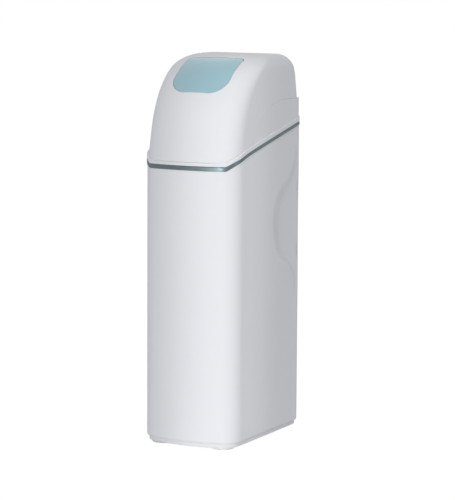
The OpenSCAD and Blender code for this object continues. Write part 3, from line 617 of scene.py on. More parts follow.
@dataclass(frozen=True)
class Moulding:
    """Injection moulded plastic with a fine spark-eroded grain and faint flow marks."""

    name: str
    colour: Trio
    rough: float = 0.38
    grain: float = 900.0
    grain_depth: float = 0.06
    drift: float = 0.03
    sheen: float = 0.5

    def material(self) -> Material:
        """Builds the finish.

        Returns:
            The material.
        """
        s = Sketch(self.name)
        flow = s.noise(3.5, 4.0, s.stretched((1.0, 1.0, 0.35)))
        s.feed("Base Color", s.ramp(flow, shade(self.colour, 1 - self.drift), shade(self.colour, 1 + self.drift)))
        handled = s.noise(14.0, 5.0)
        s.feed("Roughness", s.span(handled, self.rough * 0.88, self.rough * 1.12))
        fine = s.bump(s.noise(self.grain, 2.0), self.grain_depth, 0.0002)
        s.feed("Normal", s.bump(s.noise(9.0, 2.0), 0.02, 0.002, fine))
        s.fix(IOR=1.49, Specular_IOR_Level=self.sheen)
        return s.material


@dataclass(frozen=True)
class BrushedMetal:
    """Bare metal with fine brush lines along one direction."""

    name: str
    colour: Trio
    rough: float = 0.3
    lines: Trio = (40.0, 40.0, 2600.0)

    def material(self) -> Material:
        """Builds the finish.

        Returns:
            The material.
        """
        s = Sketch(self.name)
        brush = s.noise(1.0, 4.0, s.stretched(self.lines))
        cloud = s.noise(22.0, 4.0)
        s.feed("Base Color", s.ramp(brush, shade(self.colour, 0.86), shade(self.colour, 1.14)))
        s.feed("Roughness", s.span(cloud, self.rough * 0.8, self.rough * 1.25))
        s.feed("Normal", s.bump(brush, 0.08, 0.0002))
        s.fix(Metallic=1.0)
        return s.material


@dataclass(frozen=True)
class TintedPanel:
    """Glossy tinted plastic: clear gloss over a deep colour with a slight cloud, and where heights are given, a
    painted highlight that pales the colour towards the top.
    """

    name: str
    colour: Trio
    rough: float = 0.12
    # Colour of the painted highlight at the top.
    pale: Trio = (0.42, 0.62, 0.68)
    painted_highlight_z: Point | None = None

    def material(self) -> Material:
        """Builds the finish.

        Returns:
            The material.
        """
        s = Sketch(self.name)
        tint = s.ramp(s.noise(11.0, 3.0), shade(self.colour, 0.97), shade(self.colour, 1.03))
        # Painted highlight: the colour pales towards the top, standing in for light falling there.
        if self.painted_highlight_z is not None:
            tint = s.painted_highlight_above(tint, self.pale, *self.painted_highlight_z)
        s.feed("Base Color", tint)
        s.feed("Roughness", s.span(s.noise(60.0, 5.0), self.rough * 0.8, self.rough * 1.3))
        s.feed("Normal", s.bump(s.noise(16.0, 1.0), 0.015, 0.002))
        s.fix(IOR=1.5, Coat_Weight=0.35, Coat_Roughness=0.05)
        return s.material


@dataclass(frozen=True)
class WoundVessel:
    """Glass-fibre vessel: crossed winding bands under a gloss resin."""

    name: str
    colour: Trio

    def material(self) -> Material:
        """Builds the finish.

        Returns:
            The material.
        """
        s = Sketch(self.name)
        wave = s.node("ShaderNodeTexWave", wave_type="BANDS", bands_direction="DIAGONAL")
        for key, value in (("Scale", 55.0), ("Distortion", 2.0), ("Detail", 3.0)):
            wave.inputs[key].default_value = value
        s.link(s.coords, wave.inputs["Vector"])
        mix = s.ramp(wave.outputs["Fac"], shade(self.colour, 0.8), shade(self.colour, 1.2), 0.1, 0.9)
        s.feed("Base Color", mix)
        s.feed("Roughness", s.span(s.noise(35.0, 4.0), 0.2, 0.38))
        s.feed("Normal", s.bump(wave.outputs["Fac"], 0.18, 0.0008))
        s.fix(IOR=1.52, Coat_Weight=0.5, Coat_Roughness=0.1)
        return s.material


@dataclass(frozen=True)
class Grains:
    """A packed bed of small stones or beads."""

    name: str
    colour: Trio
    size: float = 0.004

    def material(self) -> Material:
        """Builds the finish.

        Returns:
            The material.
        """
        s = Sketch(self.name)
        scale = 1.0 / self.size
        tone = s.node("ShaderNodeSeparateColor")
        s.link(s.cells(scale, "Color"), tone.inputs["Color"])
        s.feed("Base Color", s.ramp(tone.outputs["Red"], shade(self.colour, 0.6), shade(self.colour, 1.35), 0.0, 1.0))
        s.feed("Normal", s.bump(s.cells(scale), 0.7, self.size * 0.4))
        s.feed("Roughness", s.span(tone.outputs["Green"], 0.45, 0.75))
        return s.material


@dataclass(frozen=True)
class Board:
    """Solder-masked circuit board with copper traces under the mask."""

    name: str
    colour: Trio

    def material(self) -> Material:
        """Builds the finish.

        Returns:
            The material.
        """
        s = Sketch(self.name)
        tracks = s.node("ShaderNodeTexBrick")
        tracks.inputs["Scale"].default_value = 60.0
        tracks.inputs["Mortar Size"].default_value = 0.03
        tracks.inputs["Color1"].default_value = (*self.colour, 1.0)
        tracks.inputs["Color2"].default_value = (*shade(self.colour, 0.85), 1.0)
        tracks.inputs["Mortar"].default_value = (*shade(self.colour, 1.7), 1.0)
        s.link(s.coords, tracks.inputs["Vector"])
        s.feed("Base Color", tracks.outputs["Color"])
        s.feed("Roughness", s.span(s.noise(120.0), 0.3, 0.5))
        s.feed("Normal", s.bump(tracks.outputs["Fac"], 0.1, 0.0002))
        return s.material


class Finishes:
    """All finishes of the softener, by the record's slot names."""

    def __init__(self) -> None:
        """Builds each material once."""
        white = (0.809, 0.808, 0.835)
        self.by_slot: dict[str, Material] = {
            maker.name: maker.material()
            for maker in (
                Moulding("body_white", white, rough=0.6, drift=0.012, sheen=0.10),
                BrushedMetal("trim_teal", (0.122, 0.161, 0.169), rough=0.42),
                # The visor's colour pales between these heights as a painted highlight along its top edge.
                TintedPanel("visor_blue", (0.31, 0.515, 0.58), painted_highlight_z=(1.098, 1.118)),
                Moulding("pale_plastic", (0.72, 0.735, 0.75), rough=0.45),
                Moulding("white_plastic", (0.80, 0.80, 0.77), rough=0.42),
                Moulding("dark_plastic", (0.045, 0.048, 0.052), rough=0.48, grain_depth=0.16),
                Moulding("mid_plastic", (0.27, 0.285, 0.30), rough=0.42),
                Moulding("black_plastic", (0.02, 0.02, 0.022), rough=0.5, grain_depth=0.2),
                Moulding("rubber", (0.03, 0.03, 0.032), rough=0.75, grain=500.0, grain_depth=0.25),
                BrushedMetal("steel", (0.42, 0.43, 0.44), rough=0.36, lines=(5200.0, 300.0, 70.0)),
                WoundVessel("tank_blue", (0.10, 0.24, 0.34)),
                Grains("gravel", (0.45, 0.38, 0.29), size=0.006),
                Grains("resin", (0.50, 0.26, 0.05), size=0.0012),
                Moulding("ceramic", (0.78, 0.77, 0.72), rough=0.22, grain=2400.0, grain_depth=0.03),
                BrushedMetal("motor_steel", (0.55, 0.56, 0.57), rough=0.36, lines=(60.0, 60.0, 1800.0)),
                Moulding("orange_plastic", (0.66, 0.16, 0.04), rough=0.4),
                Moulding("blue_plastic", (0.05, 0.19, 0.40), rough=0.4),
                Board("board_green", (0.03, 0.17, 0.07)),
                TintedPanel("display_glass", (0.03, 0.05, 0.05), rough=0.07),
                Grains("float_foam", (0.72, 0.69, 0.61), size=0.002),
            )
        }
        self.mark = Moulding("mark_white", (0.80, 0.81, 0.80), rough=0.35).material()
        self.readout = Moulding("readout_green", (0.36, 0.55, 0.47), rough=0.3).material()

    def __getitem__(self, slot: str) -> Material:
        """The material of a slot."""
        return self.by_slot[slot]

    def dress_nodes(self) -> None:
        """Gives every node that still shows the finish of its slot."""
        for entry in frame["record"]["subparts"]:
            node = frame["nodes"].get(entry["node"])
            if node is None:
                continue
            material = self.by_slot[entry["material_slot"]]
            slots = node.material_slots
            if not slots:
                node.data.materials.append(material)
            for place in slots:
                place.material = material


# Shared forms


def eased(reach: float | Row, share: float | Row) -> float | Row:
    """Part of a reach at a share of the way, with a smooth start and end."""
    return reach * share * share * (3 - 2 * share)


def level(flat: Row, z: float) -> Row:
    """Flat points laid at one height."""
    return np.column_stack([flat, np.full(len(flat), z)])


def raised(profile: Profile, by: float) -> list[Point]:
    """A profile of radius and height, moved up."""
    return [(r, by + z) for r, z in profile]


def arc(centre: Point, r: float, start: float, end: float, steps: int) -> list[Point]:
    """Points of an arc.

    Args:
        centre: Its middle.
        r: Its radius.
        start: Angle of the first point, in degrees.
        end: Angle of the last point, in degrees.
        steps: How many parts it is cut into.

    Returns:
        The points.
    """
    turns = [math.radians(start + (end - start) * i / steps) for i in range(steps + 1)]
    return [(centre[0] + r * math.cos(a), centre[1] + r * math.sin(a)) for a in turns]


def rounded(half_x: float, half_y: float, r: float, steps: int = 6) -> list[Point]:
    """Outline of a rectangle with round corners.

    Args:
        half_x: Half its width.
        half_y: Half its height.
        r: Radius of the corners.
        steps: Faces round each corner.

    Returns:
        The points.
    """
    points: list[Point] = []
    for sx, sy, start in ((1, -1, -90), (1, 1, 0), (-1, 1, 90), (-1, -1, 180)):
        points += arc((sx * (half_x - r), sy * (half_y - r)), r, start, start + 90, steps)
    return points


def plate(name: str, edge: Sequence[Point], low: float, high: float) -> Solid:
    """Draws up a flat outline into a plate between two heights."""
    return loft(name, [level(np.array(edge, float), z) for z in (low, high)])


@dataclass(frozen=True)
class CabinetPlan:
    """Plan of the cabinet: bowed front, corner arcs, straight sides and rear."""

    width: float = 0.300
    depth: float = 0.468
    bow: float = 0.026
    corner_r: float = 0.060
    rear_r: float = 0.040
    steps: tuple[int, int, int, int, int] = (24, 18, 56, 14, 18)

    @property
    def bow_r(self) -> float:
        """Radius of the bowed front."""
        return (self.width**2 / 4 + self.bow**2) / (2 * self.bow)

    @property
    def bow_y(self) -> float:
        """Centre of the bowed front."""
        return self.bow_r - self.depth / 2

    @property
    def corner(self) -> Point:
        """Centre of the right front corner arc."""
        x = self.width / 2 - self.corner_r
        return x, self.bow_y - math.sqrt((self.bow_r - self.corner_r) ** 2 - x * x)

    def drop(self, x: float | Row) -> float | Row:
        """How far the bowed front falls back at x."""
        return self.bow_r - np.sqrt(self.bow_r**2 - x * x)

    def marks(self) -> tuple[Row, Row, Row]:
        """Marks round the outline: stretch, share of that stretch and side sign.

        Returns:
            Three arrays, from the front middle to the right and round.
        """
        kinds, shares = [Stretch.FRONT.value], [0.0]
        for kind, count in zip(Stretch, self.steps):
            kinds += [kind.value] * count
            shares += [(i + 1) / count for i in range(count)]
        right = np.array(kinds), np.array(shares)
        kind = np.concatenate([right[0], right[0][-2:0:-1]])
        share = np.concatenate([right[1], right[1][-2:0:-1]])
        sign = np.concatenate([np.ones(len(right[0])), -np.ones(len(right[0]) - 2)])
        return kind, share, sign

    def trace(self, bow: Measures, corner: Measures, rear: Measures, half: float | Row) -> Row:
        """Points through the bowed front, corner arcs, sides and rear, one for each mark.

        Args:
            bow: Radius of the bowed front and y of its centre.
            corner: Centre and radius of the right front corner arc.
            rear: Centre and radius of the right rear corner arc.
            half: Half width at the sides.

        Returns:
            Array of x and y.
        """
        kind, share, sign = self.marks()
        (big, bow_y), (cx, cy, r), (rx, ry, rr) = bow, corner, rear
        lean = np.arctan2(cx, bow_y - cy)
        a, b, c = lean * share, (lean - math.pi / 2) * (1 - share), share * math.pi / 2
        picks = [kind == k.value for k in Stretch]
        along = 0 * share
        x = [big * np.sin(a), cx + r * np.cos(b), half + along, rx + rr * np.cos(c), rx * (1 - share)]
        y = [bow_y - big * np.cos(a), cy + r * np.sin(b), cy + (ry - cy) * share, ry + rr * np.sin(c), ry + rr + along]
        return np.column_stack([np.select(picks, x) * sign, np.select(picks, y)])

    def outline(self, inset: float) -> Row:
        """Points of the outline moved inward.

        Args:
            inset: Distance inward; negative is outward.

        Returns:
            Array of x and y.
        """
        bow = self.bow_r - inset, self.bow_y
        corner = *self.corner, self.corner_r - inset
        rear = self.width / 2 - self.rear_r, self.depth / 2 - self.rear_r, self.rear_r - inset
        return self.trace(bow, corner, rear, self.width / 2 - inset)

    def ring(self, inset: float, height: float | Callable[[Row], Row]) -> Row:
        """The outline at a height, or at a height that follows y.

        Args:
            inset: Distance inward.
            height: Height, or what gives it for each y.

        Returns:
            Array of x, y and z.
        """
        flat = self.outline(inset)
        z = height(flat[:, 1]) if callable(height) else np.full(len(flat), height)
        return np.column_stack([flat, z])


@dataclass(frozen=True)
class TrimCurve:
    """Side view of the trim: level at the front, a quick rise, then a steady one."""

    front_z: float = 0.801
    kick: float = 0.0205
    run: float = 0.028
    slope: float = 0.208
    start_y: float = -0.215
    thinning: float = 0.0028
    thinning_run: float = 0.045

    def at(self, y: Row, rise: float = 0.0) -> Row:
        """Height of the trim's lower edge at y, raised by rise."""
        u = np.maximum(0.0, y - self.start_y)
        return self.front_z + self.kick * (1 - np.exp(-u / self.run)) + self.slope * u + rise

    def band(self, y: Row, rise: float) -> Row:
        """Height of a line of the trim or collar, with the trim thinner along the sides.

        Args:
            y: Where.
            rise: Rise of the line over the lower edge.

        Returns:
            Height at each y.
        """
        share = np.clip((y - self.start_y) / self.thinning_run, 0.0, 1.0)
        low, high = rise / TRIM_H, (COLLAR_TOP - rise) / (COLLAR_TOP - TRIM_H)
        return self.at(y, rise) - eased(self.thinning, share) * min(max(min(low, high), 0.0), 1.0)


@dataclass(frozen=True)
class PartingCurve:
    """Side view of the line between the lid and the rear shroud."""

    y: float = 0.110
    a: float = 0.205
    b: float = 0.147
    z: float = 0.841

    def at(self, y: Row, grow: float = 0.0) -> Row:
        """Height of the line at y, or a low value in front of it.

        Args:
            y: Where.
            grow: Clearance over the line.

        Returns:
            Height at each y.
        """
        share = np.clip((self.y - y) / (self.a + grow), 0.0, 1.0)
        rise = (self.b + grow) * np.sqrt(np.maximum(0.0, 1 - share**2))
        return np.where(y < self.y - self.a - grow, 0.0, self.z + rise)


@dataclass(frozen=True)
class LidForm:
    """Outer form of the lid: an arched front that keeps the bow, with rounded upper edges."""

    plan: CabinetPlan = CabinetPlan(steps=(22, 18, 110, 16, 16))
    height: float = 1.1188
    arc_r: float = 0.249
    brow_y: float = 0.055
    lean: float = math.radians(10)
    inset: float = 0.003
    rear_inset: float = 0.0045
    rear_r: float = 0.049
    top_r: float = 0.042
    back_r: float = 0.066
    rear_lean: float = 0.19
    rear_z: float = 0.990
    corner_growth: float = 0.010
    growth_z: float = 0.835
    growth_run: float = 0.15
    least_rear_r: float = 0.006

    @property
    def half(self) -> float:
        """Half width of the lid."""
        return self.plan.width / 2 - self.inset

    @property
    def arc_z(self) -> float:
        """Height of the arc's centre."""
        return self.height - self.arc_r

    def front(self, z: Row, inset: float) -> Row:
        """Front of the lid at its corners, at height z.

        Args:
            z: Height of each point.
            inset: Distance inward from the outer surface.

        Returns:
            Front y at each height.
        """
        r = self.arc_r - inset
        tangent = self.arc_z + r * math.sin(self.lean)
        arched = self.brow_y - np.sqrt(np.maximum(0.0, r * r - (z - self.arc_z) ** 2))
        plain = self.brow_y - r * math.cos(self.lean) - (tangent - z) * math.tan(self.lean)
        return np.where(z < tangent, plain, arched)

    def drawn_in(self, z: Row, radius: float, inset: float) -> Row:
        """How far a rounded upper edge has drawn in at height z.

        Args:
            z: Height of each point.
            radius: Radius of the edge on the outer surface.
            inset: Distance inward from the outer surface.

        Returns:
            Distance of each point.
        """
        r = radius - inset
        rise = np.maximum(0.0, z - (self.height - radius))
        return r - np.sqrt(np.maximum(0.0, r**2 - rise**2)) + inset

    def points(self, z: Row, inset: float) -> Row:
        """Points of the lid surface, one for each mark of the plan.

        Args:
            z: Height of each point.
            inset: Distance inward from the outer surface.

        Returns:
            Array of x, y and z.
        """
        back = self.drawn_in(z, self.top_r, inset)
        behind = self.drawn_in(z, self.back_r, inset) + self.rear_lean * np.maximum(0.0, z - self.rear_z)
        half = self.half - back
        t = np.clip((z - self.growth_z) / self.growth_run, 0.0, 1.0)
        r = self.plan.corner_r - self.inset - inset + eased(self.corner_growth, t)
        rr = np.maximum(self.least_rear_r, self.rear_r - back)
        rear = self.plan.depth / 2 - self.rear_inset - behind
        big = self.plan.bow_r
        c_y = self.front(z, inset) - self.plan.drop(self.half) + big
        x = half - r
        y = c_y - np.sqrt((big - r) ** 2 - x * x)
        return np.column_stack([self.plan.trace((big, c_y), (x, y, r), (half - rr, rear - rr, rr), half), z])


TRIM_H = 0.013
COLLAR_TOP = 0.023
PLAN = CabinetPlan()
TRIM = TrimCurve()
PARTING = PartingCurve()
LID = LidForm()
HINGE = (0.070, 0.231, 0.990)
OVERFLOW_Z = 0.701
SOCKET = (-0.070, 0.964)


# Sub-assemblies


@dataclass
class Cabinet:
    """The salt cabinet with its side dishes, and the plinth and feet under it."""

    wall: float = 0.004
    bottom_z: float = 0.017
    floor_z: float = 0.021
    edge_r: float = 0.009
    edge_rows: int = 7
    outer_rows: int = 28
    inner_rows: int = 12
    dish_depth: float = 0.008
    dish_slope: Profile = (
        (0.0560, 0.010), (0.0250, 0.007), (0.0137, 0.005), (0.0067, 0.003), (-0.0090, -0.004),
    )
    dish_r: float = 0.122
    dish_centre: Point = (0.150, 0.628)
    dish_run: float = 0.226
    dish_end_y: float = 0.30
    dish_proud: float = 0.003
    bottom_y: Point = (-0.05, 0.32)
    blend_r: float = 0.120
    line_y: float = 0.180
    pad_lap: float = 0.001
    wall_pad: Trio = (0.016, 0.205, 0.230)
    corner_pad: Trio = (0.200, 0.216, 0.215)
    corner_pad_x: Point = (0.1320, 0.1425)
    notch: Trio = (0.085, 0.800, 0.890)
    overflow_r: float = 0.0113
    reach: float = 0.02
    plinth_inset: float = 0.007
    plinth_z: Point = (0.006, 0.0185)
    plinth_r: float = 0.003
    plinth_lip: Profile = ((0.0065, 0.0190), (0.0042, 0.0192), (0.0042, 0.0204), (0.0048, 0.021))
    foot_r: float = 0.032
    foot_h: float = 0.0059
    foot_bevel: float = 0.001
    tread_r: float = 0.0024
    tread: Profile = ((0.0, 0.0), (0.012, 0.0), (0.013, 0.0008), (0.022, 0.0008), (0.023, 0.0))
    foot_spot: Point = (0.098, 0.176)

    def dish_outline(self, inset: float) -> list[Point]:
        """Outline of the dish in y and z, run out to the rear.

        Args:
            inset: Distance inside the rim.

        Returns:
            Points of the closed outline.
        """
        cy, cz = self.dish_centre
        by = self.line_y - self.blend_r
        rise = math.sqrt((self.dish_r + self.blend_r) ** 2 - (cy - by) ** 2)
        turn = math.degrees(math.atan2(rise, cy - by))
        low = arc((by, cz - rise), self.blend_r + inset, 0, turn, 14)
        bowl = arc((cy, cz), self.dish_r - inset, 180 + turn, 180 - turn, 48)
        high = arc((by, cz + rise), self.blend_r + inset, -turn, 0, 14)
        return [(self.dish_end_y, cz - rise), *low, *bowl[1:-1], *high, (self.dish_end_y, cz + rise)]

    def dish_tool(self, side: int) -> Solid:
        """Body that cuts one dish, sloped at its rim and deepest at its middle.

        Args:
            side: 1 for the right side, -1 for the left.

        Returns:
            The cutting body.
        """
        half, cz = PLAN.width / 2, self.dish_centre[1]
        tool = loft("dish_plate", [
            np.array([((half - deep) * side, y, z) for y, z in self.dish_outline(inset)])
            for inset, deep in self.dish_slope
        ])
        line = [(half - self.dish_depth * (1 - t * t), cz + self.dish_run * t) for t in np.linspace(-1, 1, 49)]
        brim = half + self.dish_proud
        line = [(brim, cz - self.dish_run), *line, (brim, cz + self.dish_run)]
        rows = [np.array([(x * side, y, z) for x, z in line]) for y in np.linspace(*self.bottom_y, 38)]
        carve(tool, loft("dish_floor", rows), Cut.KEEP)
        return tool

    def pad(self, side: int, x: Point, form: Trio) -> Solid:
        """Adds a block behind a dish, so that the wall stays closed there.

        Args:
            side: 1 for the right side, -1 for the left.
            x: Its inner and outer face on the right side.
            form: Its front and rear end, and its reach above and below the dish's middle.

        Returns:
            The settled block.
        """
        x0, x1 = sorted(side * face for face in x)
        front, rear, reach = form
        cz = self.dish_centre[1]
        return box_body("dish_pad", (x0, front, cz - reach), (x1, rear, cz + reach))

    def edge_rings(self, inset: float, low: float, r: float, turns: Row) -> list[Row]:
        """Rings round a lower edge of radius r, at the given turns."""
        return [PLAN.ring(inset + r * (1 - math.sin(a)), low + r * (1 - math.cos(a))) for a in turns]

    def wall_rings(self, inset: float, low: float, shares: Row) -> list[Row]:
        """Rings of a wall, at shares of the way from a low height up to the trim."""
        return [PLAN.ring(inset, lambda y, t=t: low + (TRIM.at(y) - low) * t) for t in shares]

    def build_shell(self) -> Solid:
        """Models the cabinet wall, dishes and rear openings.

        Returns:
            The finished shell.
        """
        turns = np.linspace(math.asin(1 - self.wall / self.edge_r), math.pi / 2, self.edge_rows)
        rows = self.edge_rings(0.0, self.bottom_z, self.edge_r, turns)
        rows += self.wall_rings(0.0, self.bottom_z + self.edge_r, np.linspace(0, 1, self.outer_rows + 1)[1:])
        rows += self.wall_rings(self.wall, self.floor_z, np.linspace(1, 0, self.inner_rows + 1)[:-1])
        shell = loft("cabinet_shell", rows, loop=True, fill=False)
        back = PLAN.width / 2 - self.wall
        for side in (1, -1):
            carve(shell, self.pad(side, (back - self.dish_depth, back + self.pad_lap), self.wall_pad), Cut.ADD)
            carve(shell, self.pad(side, self.corner_pad_x, self.corner_pad), Cut.ADD)
            carve(shell, self.dish_tool(side), Cut.TAKE)
        y0, y1 = PLAN.depth / 2 - self.reach, PLAN.depth / 2 + self.reach
        nx, z0, z1 = self.notch
        carve(shell, box_body("notch", (-nx, y0, z0), (nx, y1, z1)), Cut.TAKE)
        carve(shell, rod_body("overflow_hole", (0, y0, OVERFLOW_Z), (0, y1, OVERFLOW_Z), self.overflow_r), Cut.TAKE)
        soften(shell, 0.0009, angle=20)
        return shell

    def build_plinth(self) -> Solid:
        """Models the set-back plinth with a rounded lower edge and the floor on it.

        Returns:
            The finished plinth.
        """
        low, high = self.plinth_z
        rows = [PLAN.ring(self.plinth_inset + self.reach, low)]
        rows += self.edge_rings(self.plinth_inset, low, self.plinth_r, np.linspace(0, math.pi / 2, 5))
        rows += [PLAN.ring(inset, z) for inset, z in ((self.plinth_inset, high), *self.plinth_lip)]
        plinth = loft("plinth_skirt", rows)
        smooth(plinth)
        return plinth

    def build_feet(self) -> Solid:
        """Models one foot pad with a rounded tread and copies it to the corners.

        Returns:
            The joined feet.
        """
        r, h, bevel, tread = self.foot_r, self.foot_h, self.foot_bevel, self.tread_r
        profile = [*self.tread, (r - tread, 0.0), *arc((r - tread, tread), tread, -90, 0, 5)[1:]]
        profile += [(r, h - bevel), (r - bevel, h), (0.0, h)]
        x, y = self.foot_spot
        spots = [(sx * x, sy * y, 0.0) for sx in (-1, 1) for sy in (-1, 1)]
        feet = repeated("foot_pads", turned("foot_pad", profile, 72), spots)
        smooth(feet, 40)
        return feet

    def dress(self, finishes: Finishes) -> None:
        """Builds and dresses the cabinet, plinth and feet.

        Args:
            finishes: All finishes.
        """
        enlist(self.build_shell(), "cabinet", "body_white", finishes["body_white"], "cabinet")
        enlist(self.build_plinth(), "cabinet", "pale_plastic", finishes["body_white"], "base_pan")
        enlist(self.build_feet(), "cabinet", "pale_plastic", finishes["body_white"], "feet")


@dataclass
class TrimLine:
    """The metal trim band and the collar that carries the lid."""

    proud: float = 0.0023
    collar_proud: float = 0.0015
    wall: float = 0.004
    fit: float = 0.0002
    face_lean: float = 0.0013
    face_hollow: float = 0.0002
    face_share: Point = (0.06, 0.88)
    low_edge: Point = (0.0009, 0.0003)
    high_edge: Point = (0.0022, 0.0003)
    seat: float = 0.0045
    skirt_out: float = 0.0043
    skirt_gap: float = 0.004
    skirt_z: float = -0.015
    lip: Point = (0.009, 0.012)
    lip_h: float = 0.008
    lip_r: float = 0.001
    fillet: float = 0.0008
    nose_r: float = 0.0022
    foot_r: float = 0.001

    def sweep(self, name: str, profile: Sequence[Point]) -> Solid:
        """Carries a closed profile of inset and rise round the cabinet along the trim.

        Args:
            name: Name of the piece.
            profile: Inset and rise of each corner.

        Returns:
            The swept ring.
        """
        rows = [PLAN.ring(inset, lambda y, rise=rise: TRIM.band(y, rise)) for inset, rise in profile]
        ring = loft(name, rows, loop=True, fill=False)
        smooth(ring, 50)
        return ring

    def build_band(self) -> Solid:
        """Models the trim band with its hollow, leaning face.

        Returns:
            The finished band.
        """
        p, h, fit = self.proud, TRIM_H, self.fit
        start, share = self.face_share
        face = [
            (-p + self.face_lean * t + self.face_hollow * (2 * t - 1) ** 2, h * (start + share * t))
            for t in np.linspace(0, 1, 9)
        ]
        low, high = self.low_edge, self.high_edge
        return self.sweep("trim_ring", [
            (self.wall, fit), (0.0, fit), (-p + low[0], low[1]), *face,
            (-p + high[0], h - high[1]), (self.wall, h - fit),
        ])

    def build_collar(self) -> Solid:
        """Models the collar with its rounded nose, the lid's lip and the skirt inside the wall.

        Returns:
            The finished collar.
        """
        out, low, top = -self.collar_proud, TRIM_H, COLLAR_TOP
        skirt = self.wall + self.skirt_gap
        near, far = (self.wall + gap for gap in self.lip)
        crest = top + self.lip_h
        foot = arc((out + self.foot_r, low + self.foot_r), self.foot_r, 270, 180, 3)
        nose = arc((out + self.nose_r, top - self.nose_r), self.nose_r, 180, 90, 4)
        return self.sweep("collar_ring", [
            (self.seat, low), *foot, *nose, (near - self.fillet, top), (near, top + self.fillet),
            (near, crest - self.lip_r), (near + self.lip_r, crest), (far - self.lip_r, crest),
            (far, crest - self.lip_r), (far, low), (skirt, low), (skirt, self.skirt_z), (self.skirt_out, self.skirt_z),
        ])

    def dress(self, finishes: Finishes) -> None:
        """Builds and dresses the band and the collar."""
        enlist(self.build_band(), "cabinet", "trim_teal", finishes["trim_teal"], "trim_band")
        enlist(self.build_collar(), "cabinet", "body_white", finishes["body_white"], "top_collar")


@dataclass
class Shroud:
    """The fixed rear shroud under the lid, with its hinge lugs."""

    plan: CabinetPlan = CabinetPlan(steps=(10, 10, 220, 18, 20))
    inset: float = 0.0015
    front_inset: float = 0.0028
    blend_y: float = 0.02
    blend_run: float = 0.16
    front_y: float = -0.094
    least_h: float = 0.0005
    thick: float = 0.003
    ledge: float = 0.0125
    ledge_h: float = 0.003
    wall_rows: int = 7
    gap_half: Point = (0.0104, 0.01)
    gap_z: Point = (0.0049, 0.02)
    socket_y: Point = (0.222, 0.242)
    socket_r: float = 0.0072
    knuckle_r: float = 0.0045
    lug_half: float = 0.0045
    lug_offset: float = 0.0149
    web_y: Point = (0.0012, 0.0007)
    web_drop: float = 0.014
    pin_r: float = 0.00205
    pin_half: float = 0.02

    def build(self) -> Solid:
        """Models the curved shroud wall, its ledge, knuckle gaps and socket hole.

        Returns:
            The finished shroud.
        """
        near, far = self.plan.outline(self.front_inset), self.plan.outline(self.inset)
        share = np.clip((far[:, 1] - self.blend_y) / self.blend_run, 0.0, 1.0)[:, None]
        flat = near + eased(far - near, share)
        y = flat[:, 1]
        low, high = TRIM.at(y, COLLAR_TOP), PARTING.at(y)
        keep = np.where((high > low + self.least_h) & (y > self.front_y))[0]
        flat, low, high = flat[keep], low[keep], high[keep]
        ledge, inner = (self.plan.outline(self.inset + depth)[keep] for depth in (self.ledge, self.thick))
        under = np.maximum(high - self.ledge_h, low)
        rows = [np.column_stack([flat, low + (high - low) * t]) for t in np.linspace(0, 1, self.wall_rows)]
        rows += [np.column_stack([ledge, high]), np.column_stack([ledge, under])]
        rows += [np.column_stack([inner, low + (under - low) * t]) for t in np.linspace(1, 0, self.wall_rows)]
        shroud = loft("shroud_wall", rows, ring=False, loop=True)
        hx, hy, hz = HINGE
        (gx, gy), (below, above) = self.gap_half, self.gap_z
        for x in (-hx, hx):
            gap = box_body("knuckle_gap", (x - gx, hy - gy, hz - below), (x + gx, hy + gy, hz + above))
            carve(shroud, gap, Cut.TAKE)
        sx, sz = SOCKET
        hole = rod_body("socket_hole", *((sx, y, sz) for y in self.socket_y), self.socket_r)
        carve(shroud, hole, Cut.TAKE)
        soften(shroud, 0.0006)
        return shroud

    def lugs(self) -> Solid:
        """Models one fixed knuckle of the lid hinge and copies it to its places.

        Returns:
            The joined knuckles.
        """
        hx, hy, hz = HINGE
        half, pin, (front, rear) = self.lug_half, self.pin_half, self.web_y
        lug = rod_body("lug", (-half, hy, hz), (half, hy, hz), self.knuckle_r, 40)
        carve(lug, box_body("web", (-half, hy - front, hz - self.web_drop), (half, hy + rear, hz)), Cut.ADD)
        carve(lug, rod_body("pin_way", (-pin, hy, hz), (pin, hy, hz), self.pin_r, 32), Cut.TAKE)
        soften(lug, 0.0005)
        spots = [(x + side * self.lug_offset, 0.0, 0.0) for x in (-hx, hx) for side in (-1, 1)]
        return repeated("hinge_lugs", lug, spots)

    def dress(self, finishes: Finishes) -> None:
        """Builds and dresses the shroud and its lugs."""
        enlist(self.build(), "cabinet", "body_white", finishes["body_white"], "rear_shroud")
        enlist(self.lugs(), "cabinet", "body_white", finishes["body_white"])


